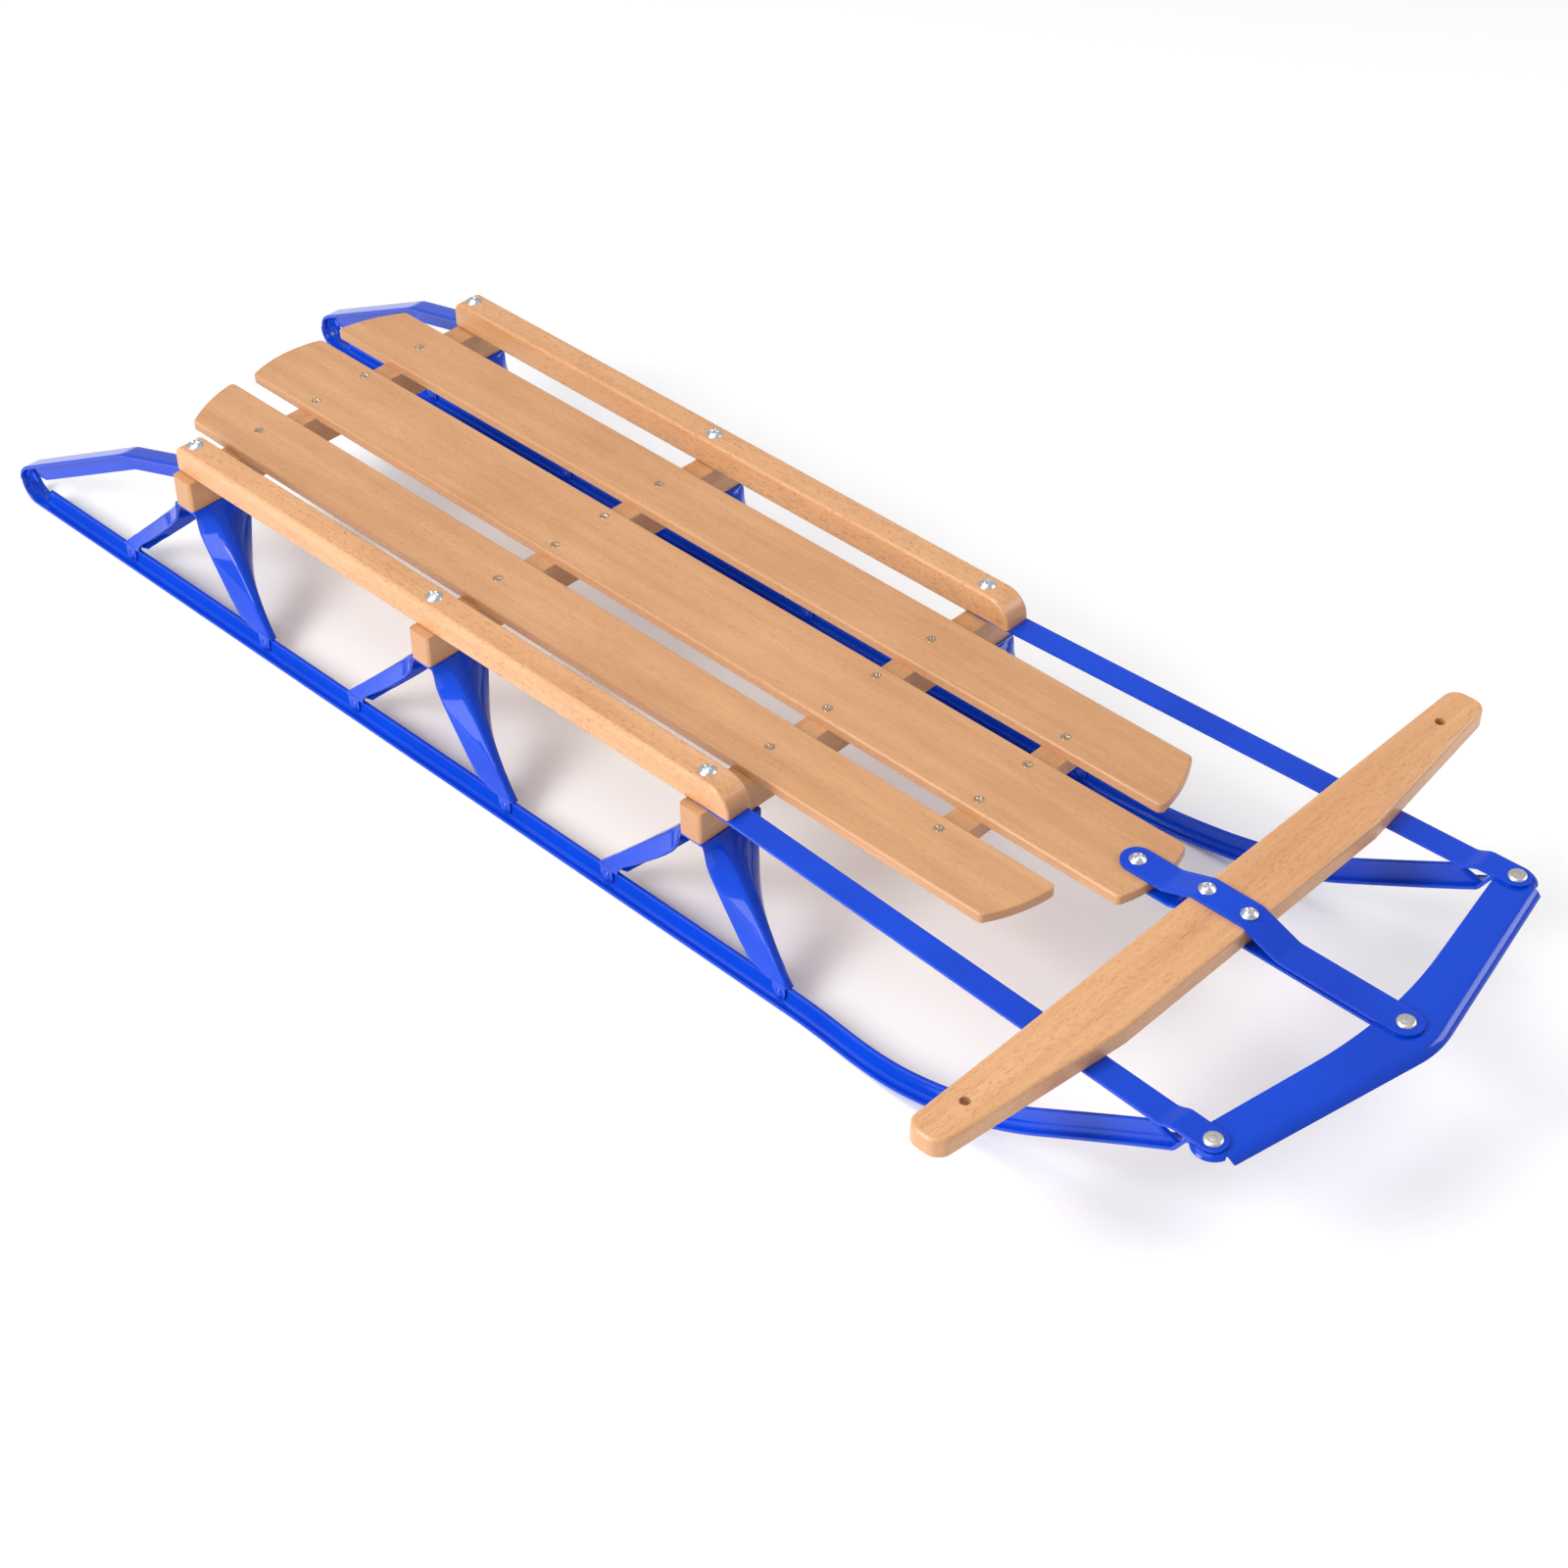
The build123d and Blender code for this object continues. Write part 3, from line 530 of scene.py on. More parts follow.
RAIL_CROSS, BAR_CROSS = (0.75, 3.4, 1.5), (0.75, 3.3, 1.5)     # half width, reach, depth
heads = {
    "rail_bolts": turned("rail_bolt", rail_dome + shank(3.0, bolt_reach), 48, zinc, RAIL_CROSS),
    "bar_bolts": turned("bar_bolt", bar_dome + shank(3.0, bar_reach), 48, zinc, BAR_CROSS),
    "pivot_bolt": turned("pivot", bar_dome + shank(3.0, pivot_reach), 48, zinc, BAR_CROSS),
}
rivet_ring = [(0.2, 2.0), (1.6, 2.02), (2.6, 1.9), (3.3, 1.72), (3.7, 1.78), (5.2, 1.72)]
rivet_ring += [(6.2, 1.36), (6.8, 0.8), (7.0, 0.3), (6.9, 0.0)]


def rivet_profile(node):
    """A rivet's ringed head, its body and the lump it is closed with underneath."""
    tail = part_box(node)[0][2] / MM - bumper_top - STRAP_THICK
    return rivet_ring + [(3.0, 0.0), (3.0, tail + 1.6), (5.4, tail + 1.5), (4.6, tail)]


for node, name in (("bumper_rivet_left", "end_rivet"), ("bumper_rivet_centre", "apex_rivet")):
    heads[node] = turned(name, rivet_profile(node), 40, nickel)
screw_profile = [(r, 0.12) for r in (0.25, 0.7, 1.1, 1.5, 1.9, 2.3, 2.7, 3.1, 3.5)]
screw_profile += [(3.9, 0.06), (4.0, -0.1), (2.05, -2.0), (2.0, -18.0), (0.4, -20.0)]
heads["deck_screws"] = turned("screw", screw_profile, 36, bronze, (0.55, 2.5, 1.3))
foot_profile = dome(4.4, 2.0, 8, 0.3) + [(2.4, 0.0), (2.4, -3.6)]
heads["knee_rivets"] = turned("foot_rivet", foot_profile, 24, enamel)


# %% [markdown]
# The tree has four inputs: the marked points, the fastener, how far each copy
# may turn, and its seed. The points carry the direction their heads face.


# %% Geometry Nodes that set the fasteners out
def setting_out_tree():
    tree = bpy.data.node_groups.new("set_out_fasteners", "GeometryNodeTree")
    for name, kind in (
        ("Points", "NodeSocketGeometry"),
        ("Fastener", "NodeSocketObject"),
        ("Turn", "NodeSocketFloat"),
        ("Seed", "NodeSocketInt"),
        ("Metal", "NodeSocketMaterial"),
    ):
        tree.interface.new_socket(name, in_out="INPUT", socket_type=kind)
    tree.interface.new_socket("Geometry", in_out="OUTPUT", socket_type="NodeSocketGeometry")
    source, result = tree.nodes.new("NodeGroupInput"), tree.nodes.new("NodeGroupOutput")
    info = tree.nodes.new("GeometryNodeObjectInfo")
    info.inputs["As Instance"].default_value = True
    facing = tree.nodes.new("GeometryNodeInputNamedAttribute")
    facing.data_type = "FLOAT_VECTOR"
    facing.inputs["Name"].default_value = "facing"
    aim = tree.nodes.new("FunctionNodeAlignRotationToVector")
    aim.axis = "Z"
    amount = tree.nodes.new("FunctionNodeRandomValue")
    spin = tree.nodes.new("FunctionNodeAxisAngleToRotation")
    spin.inputs["Axis"].default_value = (0.0, 0.0, 1.0)
    both = tree.nodes.new("FunctionNodeRotateRotation")
    both.rotation_space = "LOCAL"
    copies = tree.nodes.new("GeometryNodeInstanceOnPoints")
    real = tree.nodes.new("GeometryNodeRealizeInstances")
    paint = tree.nodes.new("GeometryNodeSetMaterial")
    link = tree.links.new
    link(source.outputs["Fastener"], info.inputs["Object"])
    link(facing.outputs["Attribute"], aim.inputs["Vector"])
    link(source.outputs["Turn"], amount.inputs[3])
    link(source.outputs["Seed"], amount.inputs["Seed"])
    link(amount.outputs[1], spin.inputs["Angle"])
    link(aim.outputs[0], both.inputs["Rotation"])
    link(spin.outputs[0], both.inputs["Rotate By"])
    link(source.outputs["Points"], copies.inputs["Points"])
    link(info.outputs["Geometry"], copies.inputs["Instance"])
    link(both.outputs[0], copies.inputs["Rotation"])
    link(copies.outputs[0], real.inputs[0])
    link(real.outputs[0], paint.inputs["Geometry"])
    link(source.outputs["Metal"], paint.inputs["Material"])
    link(paint.outputs[0], result.inputs[0])
    return tree


setting_out = setting_out_tree()
socket_of = {item.name: item.identifier for item in setting_out.interface.items_tree}


def set_out(name, head, places, turn, seed, directions=None):
    """One mesh that holds a copy of a fastener at each place."""
    piece = add_mesh(name, places, [], head.data.materials[0])
    facing = piece.data.attributes.new("facing", "FLOAT_VECTOR", "POINT")
    up = directions or [(0.0, 0.0, 1.0)] * len(places)
    facing.data.foreach_set("vector", [v for direction in up for v in direction])
    modifier = piece.modifiers.new("set_out", "NODES")
    modifier.node_group = setting_out
    for key, value in (
        ("Fastener", head),
        ("Turn", turn),
        ("Seed", seed),
        ("Metal", head.data.materials[0]),
    ):
        modifier[socket_of[key]] = value
    settle(piece, 40.0)
    print(name, len(places), "copies,", len(piece.data.polygons), "faces")
    return piece


# %% Where they go
bolt_places = [(side * rail_x, y, rail_top) for _, side in SIDES for y in bench_y.values()]
BAR_HEAD, SCREW_HEAD = 6.5, 4.0        # head radii
bar_bolt_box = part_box("bar_bolts")
bar_bolt_ys = [bar_bolt_box[0][1] / MM + BAR_HEAD, bar_bolt_box[1][1] / MM - BAR_HEAD]
outer_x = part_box("deck_screws")[1][0] / MM - SCREW_HEAD
inner_x, cleat_x = 26.8, 70.0
cleat_y = centre_of("front_cleat")[1]
bench_screws = [(x, y) for y in bench_y.values() for x in (inner_x, outer_x)]
cleat_screws = [(x, cleat_y) for x in (inner_x, cleat_x)]
screw_places = [(s * x, y, deck_top) for _, s in SIDES for x, y in bench_screws]
screw_places += [(s * x, y, deck_top) for _, s in SIDES for x, y in cleat_screws]
foot_reach, foot_z = 91.0, 10.25
ear_out, ear_in = runner_x + 3.5, runner_x - 3.5
foot_places, foot_facing = [], []
for _, side in SIDES:
    for y in bench_y.values():
        for turn in (-1, 1):
            for ear, outward in ((ear_out, 1.0), (ear_in, -1.0)):
                foot_places.append((side * ear, y + turn * foot_reach, foot_z))
                foot_facing.append((side * outward, 0.0, 0.0))

ANY_TURN = 6.28
over_bar, over_deck = bar_top + STRAP_THICK, deck_top + STRAP_THICK
over_bumper = bumper_top + STRAP_THICK
bar_places = [(0, y, over_bar) for y in bar_bolt_ys]
left_place, right_place = [(end_x, end_y, over_bumper)], [(-end_x, end_y, over_bumper)]
fasteners = (
    ("rail_bolts", bolt_places, "frame", "zinc_plate", ANY_TURN, None),
    ("bar_bolts", bar_places, "steering", "zinc_plate", ANY_TURN, None),
    ("pivot_bolt", [(0, pivot_y, over_deck)], "steering", "zinc_plate", ANY_TURN, None),
    ("deck_screws", screw_places, "frame", "zinc_plate", ANY_TURN, None),
    ("knee_rivets", foot_places, "frame", "blue_enamel", 0.0, foot_facing),
    ("bumper_rivet_left", left_place, "strap_left", "rivet_steel", ANY_TURN, None),
    ("bumper_rivet_right", right_place, "strap_right", "rivet_steel", ANY_TURN, None),
    ("bumper_rivet_centre", [(0, apex_y, over_bumper)], "steering", "rivet_steel", ANY_TURN, None),
)
heads["bumper_rivet_right"] = heads["bumper_rivet_left"]
for seed, (node, places, body, slot, turn, directions) in enumerate(fasteners):
    piece = set_out(f"turned_{node}", heads[node], places, turn, seed, directions)
    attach(piece, body)
    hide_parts(node)
for head in set(heads.values()):
    bpy.data.objects.remove(head)

# %% [markdown]
# ## Runners
# Each runner is one bent steel T: a flat sole with rounded lips and a thin web
# on top. A section swept along the runner's own path gives it in one mesh, and
# the section's numbers change on the way: the web is nicked away where the
# steel loops round behind, and stops before the front curls over. The path is
# straight lines with rounded corners, from the front tongue back to the rail.


# %% The runner's path
def rounded_path(points, radii, step):
    """Points along straight lines whose corners are turned with these radii."""
    path = [np.array(points[0], float)]
    for before, corner, after, radius in zip(points, points[1:], points[2:], radii):
        corner = np.array(corner, float)
        back = np.array(before, float) - corner
        on = np.array(after, float) - corner
        back, on = back / np.linalg.norm(back), on / np.linalg.norm(on)
        half = math.acos(np.clip(back @ on, -1, 1)) / 2
        cut = radius / math.tan(half)
        inward = (back + on) / np.linalg.norm(back + on)
        centre = corner + inward * radius / math.sin(half)
        first, last = corner + back * cut - centre, corner + on * cut - centre
        sweep = math.pi - 2 * half
        count = max(4, int(radius * sweep / step), int(math.degrees(sweep) / 7))
        for part in np.linspace(0, 1, count + 1):
            weight = (math.sin((1 - part) * sweep), math.sin(part * sweep))
            path.append(centre + (first * weight[0] + last * weight[1]) / math.sin(sweep))
    path.append(np.array(points[-1], float))
    filled = [path[0]]
    for point in path[1:]:
        parts = max(1, round(np.linalg.norm(point - filled[-1]) / step))
        for left in range(parts, 0, -1):
            filled.append(filled[-1] + (point - filled[-1]) / left)
    return np.array(filled)


SOLE_THICK, SOLE_HALF = 3.0, 9.0
tongue_z = bumper_top - 2.0 - SOLE_THICK
rise = math.tan(math.radians(31.0))
upsweep_y = ahead(555.0)
front_corner = (ahead(748.0), (upsweep_y - ahead(748.0)) * rise)
loop_radius = 19.3
loop_y = ahead(-541.0) - loop_radius
return_bend = (ahead(-387.7), 111.8)
toward = np.array(return_bend) - (loop_y, loop_radius)
leave = math.atan2(toward[1], toward[0]) - math.acos(loop_radius / np.linalg.norm(toward))
leave_y = loop_y + loop_radius * math.cos(leave)
leave_z = loop_radius + loop_radius * math.sin(leave)
front_line = [
    (end_y - 9.0, tongue_z),
    (ahead(748.0) - 9.0, tongue_z),
    front_corner,
    (upsweep_y, 0.0),
    (loop_y, 0.0),
]
loop_turns = np.linspace(-math.pi / 2, leave, 40)[1:]
loop_line = [
    (loop_y + loop_radius * math.cos(turn), loop_radius + loop_radius * math.sin(turn))
    for turn in loop_turns
]
on_bench = bench_top + SOLE_THICK
return_line = [
    (leave_y, leave_z),
    return_bend,
    (rail_back, on_bench),
    (rail_back - 26.0, on_bench),
]
runner_path = np.vstack(
    [
        rounded_path(front_line, (3.0, 11.0, 360.0), 7.0),
        loop_line,
        rounded_path(return_line, (40.0, 30.0), 6.0)[1:],
    ]
)
print("runner path", len(runner_path), "stations")

# %% [markdown]
# The sole's lips stand a hair proud of a shallow groove, and a small fillet
# carries the sole into the web. The two fronts also bow outwards a little
# between the last knee and the bumper, as sprung steel does.


# %% The runner's section and its sweep
HALF_SECTION = (
    (0.0, 0.0), (4.0, 0.0), (7.6, 0.0), (8.5, 0.3), (8.95, 1.0), (8.95, 2.0),
    (8.6, 2.75), (8.0, 3.05), (7.4, 2.95), (7.0, 2.5), (6.4, 2.3), (4.6, 2.35),
    (3.0, 2.6), (2.2, 3.3), (1.7, 4.6), (1.5, 6.4), (1.45, 11.0), (1.5, 15.4),
    (1.75, 16.3), (1.6, 17.0), (0.9, 17.42), (0.0, 17.5),
)
SECTION = list(HALF_SECTION) + [(-x, z) for x, z in HALF_SECTION[-2:0:-1]]


def smooth_between(value, low, high):
    """0 below low, 1 above high, and an easy curve between."""
    part = min(1.0, max(0.0, (value - low) / (high - low)))
    return part * part * (3 - 2 * part)


def bow(y):
    """How far the runner's front stands out sideways at this y."""
    leaving = smooth_between(-y, -ahead(400.0), -ahead(525.0))
    returning = smooth_between(-y, -ahead(540.0), -ahead(745.0))
    return 6.0 * leaving * (1 - returning)


def runner_rows(path):
    """The swept section at each station of the path."""
    steps = np.diff(path, axis=0)
    forward = np.vstack([steps[:1], (steps[:-1] + steps[1:]) / 2, steps[-1:]])
    forward /= np.linalg.norm(forward, axis=1)[:, None]
    travelled = np.concatenate([[0], np.cumsum(np.linalg.norm(steps, axis=1))])
    rows = []
    for number, ((y, z), (ty, tz)) in enumerate(zip(path, forward)):
        on_return = number > len(path) // 2 and z > loop_radius
        in_loop = smooth_between(y, loop_y - 13.0, loop_y - 7.0)
        if on_return:
            gone = math.hypot(y - leave_y, z - leave_z)
            in_loop = 1 - smooth_between(gone, 1.0, 8.0)
            in_loop = max(in_loop, smooth_between(-y, -bench_back - 3.0, -bench_back))
        web = 1 - in_loop
        if not on_return:
            web *= smooth_between(y, ahead(745.0), ahead(735.0))
        width = 1.0
        if travelled[number] < SOLE_HALF:
            width = math.sqrt(max(0.02, 1 - (1 - travelled[number] / SOLE_HALF) ** 2))
        if on_return and y < rail_back:
            width = 8.0 / SOLE_HALF
        lean = 0.0
        if on_return:
            lean = (leave_y - y) / (leave_y - bench_y["rear"]) * (rail_x - runner_x)
        middle = runner_x + bow(y) + lean
        row = []
        for across, up in SECTION:
            if up > SOLE_THICK:
                up = SOLE_THICK + (up - SOLE_THICK) * max(web, 0.01)
            row.append((middle + across * width, y - tz * up, z + ty * up))
        rows.append(row)
    return rows


def make_runner(side_name, side):
    """One runner, swept along the runner's path as one mesh."""
    rows = runner_rows(runner_path)
    points = [(side * x, y, z) for row in rows for x, y, z in row]
    faces = stitched(rows, closed=True)
    count = len(SECTION)
    faces.append(tuple(range(count)))
    faces.append(tuple(range(len(points) - 1, len(points) - 1 - count, -1)))
    piece = settle(add_mesh(f"steel_runner_{side_name}", points, faces, enamel), 50.0)
    for part in ("runner", "runner_front", "runner_loop"):
        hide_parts(f"{part}_{side_name}")
    flex_x, flex_y, reach = side * runner_x * MM, ahead(436.0) * MM, 42.0 * MM
    start, end = (flex_x, flex_y + reach, 0.0), (flex_x, flex_y - reach, 0.0)
    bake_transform(piece)
    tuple(start)
    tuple(end)
    return piece


for side_name, side in SIDES:
    runner = make_runner(side_name, side)
    print(runner.name, len(runner.data.polygons), "faces")

# %% [markdown]
# ## Pressed knees
# A knee is one sheet of steel, pressed over a form: flat under the bench, folded
# down at both edges, with a ridge that starts in the fold and runs down each leg
# until it closes round the runner's web as a narrow channel. Cross cuts at a few
# heights describe it best. Each cut is a line of four corners, inner edge, two
# corners of the ridge and outer edge, and easing rounds the ridge.

# %% The knee's cross cuts
KNEE_TOP = bench_bottom
PLATE_IN, PLATE_OUT = 112.0, 171.5
CHANNEL = 3.5
WEB_IN, WEB_OUT = runner_x - CHANNEL, runner_x + CHANNEL
# height, then (x, reach) of the inner edge, the two ridge corners and the outer edge
KNEE_CUTS = (
    (KNEE_TOP - 0.1, (PLATE_IN, 12.6), (151.0, 12.6), (158.0, 12.6), (PLATE_OUT, 12.6)),
    (KNEE_TOP - 1.2, (PLATE_IN, 13.8), (151.0, 13.8), (158.0, 13.8), (PLATE_OUT, 13.8)),
    (KNEE_TOP - 6.0, (112.6, 14.2), (147.0, 20.0), (157.0, 20.0), (PLATE_OUT, 14.4)),
    (KNEE_TOP - 13.0, (115.0, 15.6), (147.6, 27.6), (157.6, 27.6), (PLATE_OUT, 15.0)),
    (KNEE_TOP - 21.0, (119.5, 18.6), (149.0, 34.6), (158.4, 34.4), (171.6, 17.0)),
    (KNEE_TOP - 36.0, (129.5, 29.0), (153.4, 50.0), (162.0, 49.8), (172.2, 27.6)),
    (KNEE_TOP - 52.0, (141.5, 42.5), (158.6, 66.0), (166.0, 66.0), (172.9, 39.0)),
    (KNEE_TOP - 68.0, (154.5, 58.0), (163.6, 83.0), (170.4, 83.2), (173.7, 50.2)),
    (KNEE_TOP - 78.0, (163.0, 68.0), (166.2, 93.4), (173.0, 93.8), (174.3, 57.4)),
    (KNEE_TOP - 84.6, (WEB_IN, 74.0), (WEB_IN, 100.6), (WEB_OUT, 100.6), (WEB_OUT, 62.0)),
)
# height and reach of the outer edge on the rear leg, which is cut narrower
REAR_WALL = (
    (18.0, 79.0),
    (25.0, 77.0),
    (34.5, 66.8),
    (52.0, 46.5),
    (70.4, 27.0),
    (81.0, 17.0),
    (90.0, 14.8),
)
CUT_POINTS = 29


def cut_line(corners):
    """Points from the inner edge over the ridge to the outer edge, ridge rounded."""
    corners = np.array(corners, float)
    lengths = np.concatenate([[0], np.cumsum(np.linalg.norm(np.diff(corners, axis=0), axis=1))])
    places = np.array([0, 11 / 28, 17 / 28, 1.0])
    even = np.interp(np.linspace(0, 1, CUT_POINTS), places, lengths)
    line = np.stack([np.interp(even, lengths, corners[:, axis]) for axis in (0, 1)], 1)
    return eased(line, 1)


def leg_rows(side, bench, turn, levels=34):
    """Rows of points down one leg, from the fold to the runner."""
    heights = [cut[0] for cut in KNEE_CUTS]
    cuts = [list(cut) for cut in KNEE_CUTS]
    if turn < 0:
        for cut in cuts[3:]:
            wall = float(np.interp(cut[0], *zip(*REAR_WALL)))
            cut[4] = (cut[4][0], max(wall, cut[4][1]))
    lines = np.array([cut_line(cut[1:]) for cut in cuts])
    even = np.linspace(0, len(heights) - 1, levels)
    z_levels = np.interp(even, range(len(heights)), heights)
    grid = np.empty((levels, CUT_POINTS, 2))
    for column in range(CUT_POINTS):
        for axis in (0, 1):
            grid[:, column, axis] = np.interp(even, range(len(heights)), lines[:, column, axis])
    grid = eased(grid, 2)
    # the foot's lower edge rises off the web between its rivet and its heel
    lift = np.array([4.4 * (1 - smooth_between(reach, 62.0, 85.0)) for _, reach in grid[-1]])
    rows = []
    for number, (z, line) in enumerate(zip(z_levels, grid)):
        share = smooth_between(number, levels * 0.55, levels - 1)
        row = zip(line, lift)
        rows.append([(side * x, bench - turn * reach, z + share * up) for (x, reach), up in row])
    return rows


def ear_rows(side, bench, turn, x):
    """The rounded ear that hangs down beside the web and takes the rivet."""
    rows = []
    ear_round, high = 6.6, KNEE_TOP - 82.0
    for part in np.linspace(0, 1, 6):
        row = []
        for across in np.linspace(-1, 1, 15):
            low = foot_z - ear_round * math.sqrt(max(0.0, 1 - across**2))
            y = bench - turn * (foot_reach + across * ear_round)
            row.append((side * x, y, high + (low - high) * part))
        rows.append(row)
    return rows


def make_knee(side_name, side, where):
    """A whole knee: two legs, the plate between their folds, and four ears."""
    bench = bench_y[where]
    front, back = leg_rows(side, bench, 1), leg_rows(side, bench, -1)
    fore, aft = np.array(front[0]), np.array(back[0])
    plate = [fore * (1 - part) + aft * part for part in np.linspace(0, 1, 7)[1:-1]]
    rows = front[::-1] + plate + back
    sheet = add_mesh("sheet", [p for row in rows for p in row], stitched(rows), enamel)
    parts = [sheet]
    for turn in (1, -1):
        for x in (ear_out, ear_in):
            ear = ear_rows(side, bench, turn, x)
            parts.append(add_mesh("ear", [p for row in ear for p in row], stitched(ear), enamel))
    thicken(sheet, 2.0, 0.35, side=-side)           # the wall grows inwards from the net
    for ear, outward in zip(parts[1:], (1, -1) * 2):
        thicken(ear, 1.9, 0.35, side=0.0)
        for vertex in ear.data.vertices:
            vertex.co.x -= side * outward * 0.95 * MM
    piece = joined(f"pressed_knee_{where}_{side_name}", parts)
    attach(piece, "frame")
    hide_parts(f"knee_{where}_{side_name}")
    return piece


for where in bench_y:
    for side_name, side in SIDES:
        knee = make_knee(side_name, side, where)
print("last knee", len(knee.data.polygons), "faces")

# %% [markdown]
# ## Flat straps
# The straps are cut from strip steel with round ends and bent a little where
# they step over the bumper, the slat or the bar. A strap is a net laid along
# its line, as wide as its round ends allow at each step.


# %% Straps
def flat_strap(name, start, end, levels, width, thick):
    """A strip from start to end (x, y), whose underside follows (distance, z) levels."""
    start, end = np.array(start, float), np.array(end, float)
    length = np.linalg.norm(end - start)
    along = (end - start) / length
    sideways = np.array([-along[1], along[0]])
    half = width / 2
    quarter = half * (1 - np.cos(np.linspace(0.06, math.pi / 2, 12)))
    body = np.linspace(half, length + half, int(length / 2.0))[1:-1]
    places = np.concatenate([quarter, body, length + width - quarter[::-1]]) - half
    dense = np.linspace(-half, length + half, 600)
    level = np.interp(dense, [d for d, _ in levels], [z for _, z in levels])
    level = eased(level, 7)
    rows = []
    for place in places:
        spare = min(half, place + half, length + half - place)
        reach = math.sqrt(max(0.0, half**2 - (half - spare) ** 2))
        z = float(np.interp(place, dense, level)) + thick
        middle = start + along * place
        rows.append([(*(middle + sideways * reach * part), z) for part in np.linspace(-1, 1, 7)])
    piece = add_mesh(name, [p for row in rows for p in row], stitched(rows), enamel)
    top = piece.data.polygons[0].normal.z
    return thicken(piece, thick, 0.45, side=-1.0 if top > 0 else 1.0)


step_end = math.hypot(end_x - rail_x, end_y - bench_y["front"])
for side_name, side in SIDES:
    levels = ((0, bench_top), (step_end - 37, bench_top))
    levels += ((step_end - 27, bumper_top), (step_end, bumper_top))
    start, end = (side * rail_x, bench_y["front"]), (side * end_x, end_y)
    strap = flat_strap(f"flat_side_strap_{side_name}", start, end, levels, 21.0, STRAP_THICK)
    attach(strap, f"strap_{side_name}")
    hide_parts(f"side_strap_{side_name}")

rise_start, rise_end = pivot_y - (bar_back - 4.5 + 28.0), pivot_y - (bar_back - 4.5)
fall_start = pivot_y - (bar_front + 4.5)
upper_levels = (
    (0, deck_top),
    (rise_start, deck_top),
    (rise_end, bar_top),
    (fall_start, bar_top),
    (fall_start + 33.0, bumper_top),
)
under_slat = bench_top - STRAP_THICK
under_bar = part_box("steering_bar")[0][2] / MM - STRAP_THICK
under_start = pivot_y - bar_back - 16.0
lower_levels = ((0, under_slat), (under_start, under_slat))
lower_levels += ((under_start + 8.0, under_bar), (300, under_bar))
pivot, apex, wide = (0, pivot_y), (0, apex_y), 25.5
upper_strap = flat_strap("flat_strap_upper", pivot, apex, upper_levels, wide, STRAP_THICK)
lower_strap = flat_strap("flat_strap_lower", pivot, apex, lower_levels, wide, STRAP_THICK)
for strap, node in ((upper_strap, "steering_strap_upper"), (lower_strap, "steering_strap_lower")):
    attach(strap, "steering")
    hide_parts(node)

# %% [markdown]
# ## Bumper
# The bumper is pressed from sheet into a shallow arrow. Its front edge rolls
# down on a large radius, and each end has a round lobe for the strap's rivet
# with a little skirt of its own. Seen from above it hides nothing of itself, so
# one height for each place on its outline is enough.

# %% Bumper
BUMPER_HALF, LOBE = 173.0, 15.0
ROLL_RADIUS, ROLL_ANGLE = 10.5, math.radians(66.0)
roll_depth = ROLL_RADIUS * math.sin(ROLL_ANGLE)
front_mid, front_end = apex_y - 29.1, end_y - 19.6
back_mid, back_end = apex_y + 9.9, end_y + 14.4


def arrow_edge(x, mid, end, radius):
    """The y of a straight-sided arrow with its point rounded off."""
    slope = (end - mid) / BUMPER_HALF
    angle = math.atan(slope)
    reach = radius * math.sin(angle)
    x = abs(x)
    if x >= reach:
        return mid + slope * x
    centre = mid + radius / math.cos(angle)
    return centre - math.sqrt(radius**2 - x**2)


def roll_drop(distance, radius, angle):
    """How far a rolled edge has dropped, this far inside the edge."""
    inside = radius * math.sin(angle) - distance
    return radius - math.sqrt(radius**2 - inside**2) if inside > 0 else 0.0


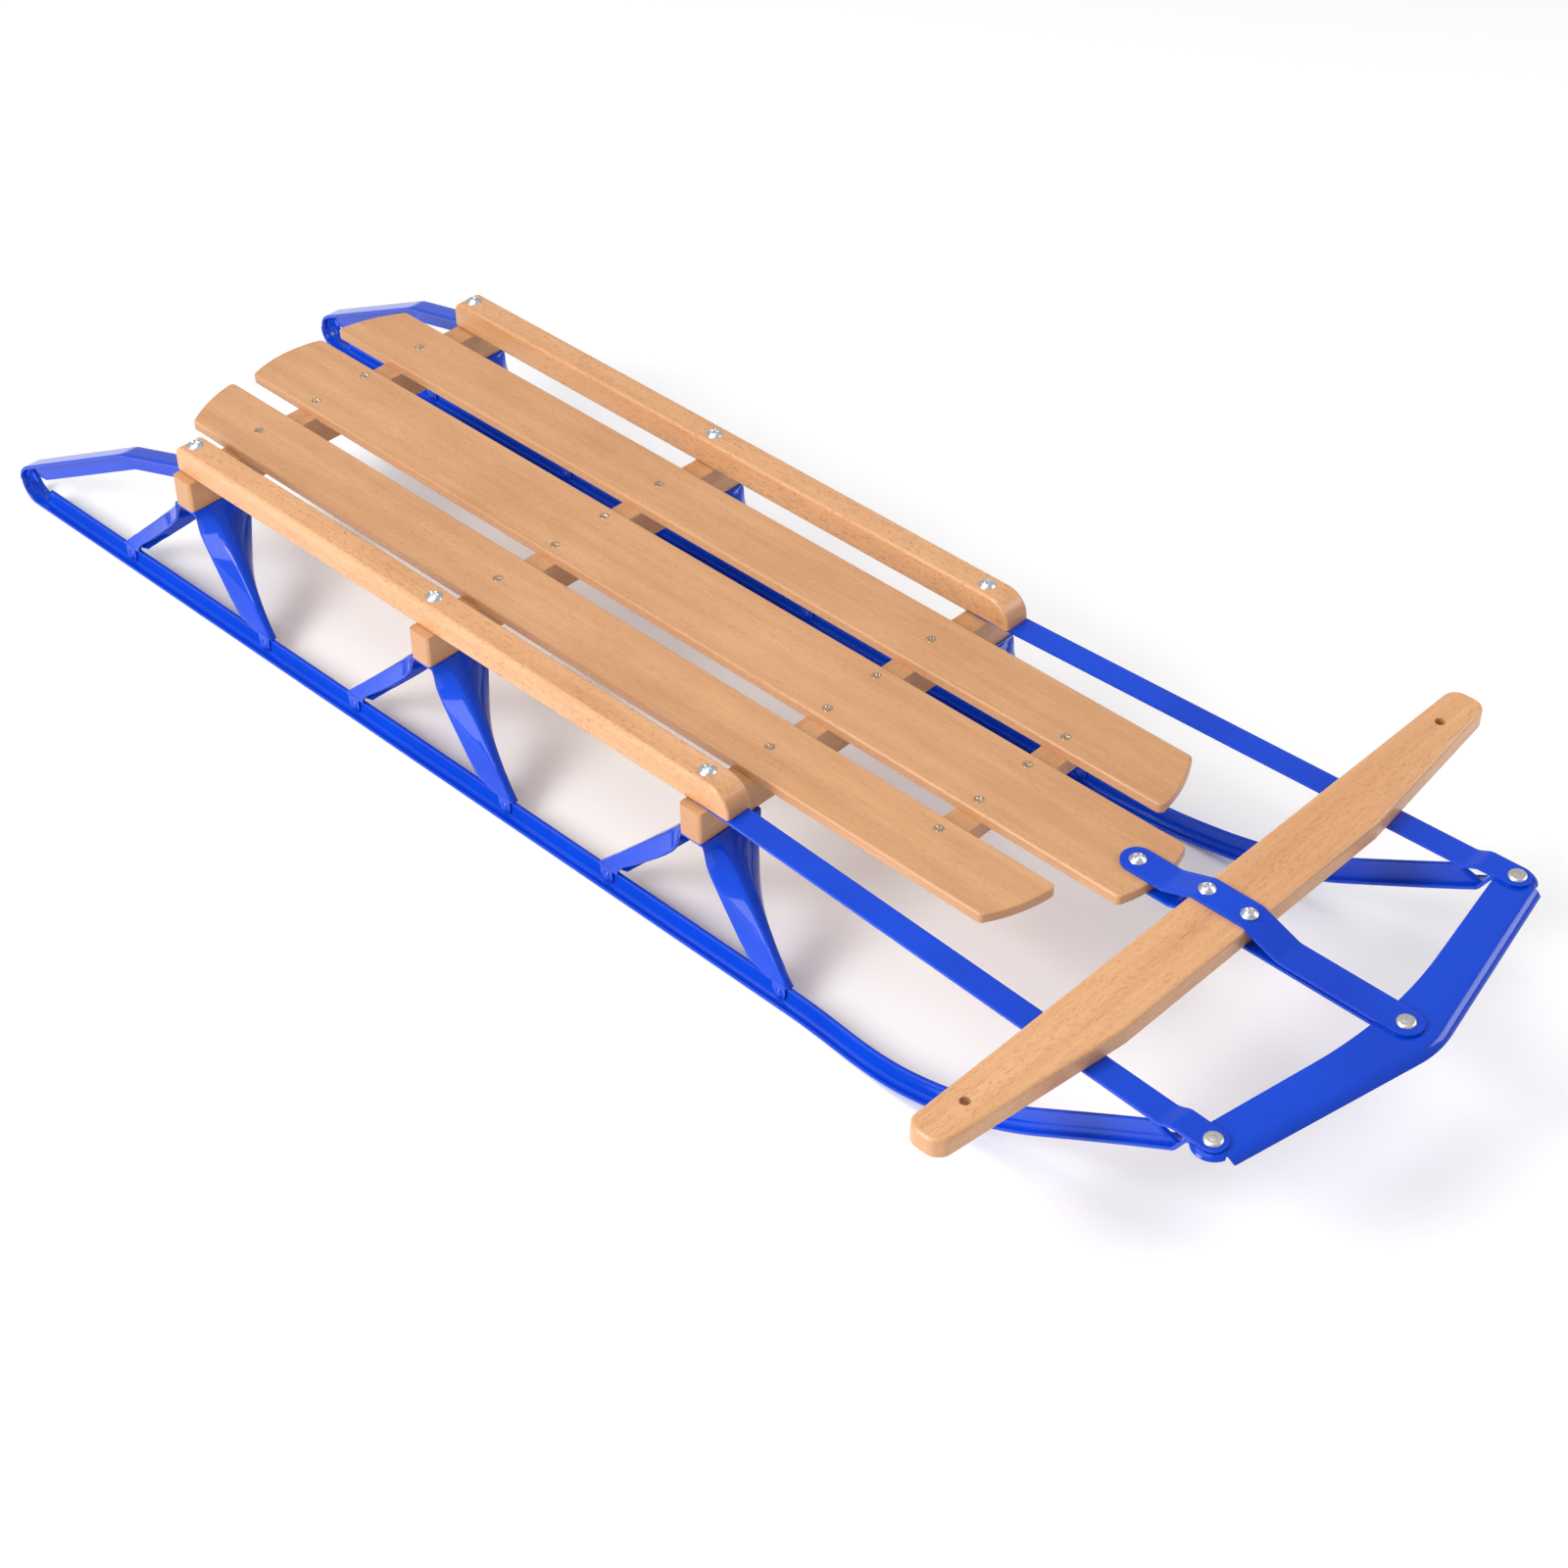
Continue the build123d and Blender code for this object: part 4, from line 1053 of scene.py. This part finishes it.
lobe_xs = end_x + LOBE * np.sin(np.radians([6.0, 12, 20, 30, 42, 54, 66, 76, 84, 88.5]))
middle_xs, arm_xs = np.linspace(0, 30, 13)[1:], np.linspace(30, 166, 28)[1:]
notch_xs = [169, 171, 172.4, BUMPER_HALF, 173.9]
right_xs = np.concatenate([middle_xs, arm_xs, notch_xs, lobe_xs[2:]])
bumper_xs = np.concatenate([-right_xs[::-1], [0.0], right_xs])
roll_steps = roll_depth - ROLL_RADIUS * np.sin(np.linspace(ROLL_ANGLE, 0, 11))
bumper_rows = []
for x in bumper_xs:
    lobe_part = LOBE**2 - (abs(x) - end_x) ** 2
    half_lobe = math.sqrt(lobe_part) if lobe_part > 0 else 0.0
    if abs(x) <= BUMPER_HALF:
        low = arrow_edge(x, front_mid, front_end, 90.0)
        high = arrow_edge(x, back_mid, back_end, 390.0)
        if half_lobe and abs(x) > end_x - 4:
            high = max(high, end_y + half_lobe)
    else:
        notch = 1.6 if abs(x) < 174.2 else 0.0
        low, high = end_y - half_lobe + notch, end_y + half_lobe
    lip = min(roll_depth, (high - low) / 2)
    ys = np.concatenate([low + roll_steps * lip / roll_depth, np.linspace(low + lip, high, 9)[1:]])
    row = []
    for y in ys:
        if abs(x) <= BUMPER_HALF:
            slant = math.cos(math.atan((front_end - front_mid) / BUMPER_HALF))
            drop = roll_drop((y - low) * slant, ROLL_RADIUS, ROLL_ANGLE)
        else:
            inside = LOBE - math.hypot(abs(x) - end_x, y - end_y)
            strength = smooth_between(abs(x), 172.0, 179.0) if y > end_y else 1.0
            drop = roll_drop(max(0.0, inside), 5.5, math.radians(60)) * strength
        row.append((x, y, bumper_top - drop))
    bumper_rows.append(row)
bumper_points = [point for row in bumper_rows for point in row]
bumper = add_mesh("pressed_bumper", bumper_points, stitched(bumper_rows), enamel)
thicken(bumper, 2.0, 0.4, side=-1.0 if bumper.data.polygons[0].normal.z > 0 else 1.0)
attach(bumper, "bumper")
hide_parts("bumper")
print("bumper", len(bumper.data.polygons), "faces")

# %% [markdown]
# ## Wood and nuts from the CAD model
# The slats, rails, benches, cleat and bar already have their true shapes, with
# every edge rounded, so they stay as they are and only take a finish.

# %% Finishes for the CAD pieces
cad_finish = {
    slat_beech: ("slat_left", "slat_centre", "slat_right"),
    rail_beech: ("side_rail_left", "side_rail_right"),
    bench_beech: ("bench_front", "bench_middle", "bench_rear", "front_cleat"),
    bar_beech: ("steering_bar",),
    zinc: ("rail_nuts", "bar_nuts", "pivot_nut"),
}
for material, nodes in cad_finish.items():
    for node in nodes:
        for material_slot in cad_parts[node].material_slots:
            material_slot.material = material

# %% The floor
FLOOR_HALF = 6.0
CORNERS = ((-1, -1), (1, -1), (1, 1), (-1, 1))
corners = [(x * FLOOR_HALF / MM, y * FLOOR_HALF / MM, 0.0) for x, y in CORNERS]
floor = add_mesh("floor", corners, [(0, 1, 2, 3)], floor_finish.material)
floor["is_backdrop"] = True

# %% Sizes and the last line
boxes = {"cad": cad_box, "visual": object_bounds()}
{key: [list(corner) for corner in value] for key, value in boxes.items()}
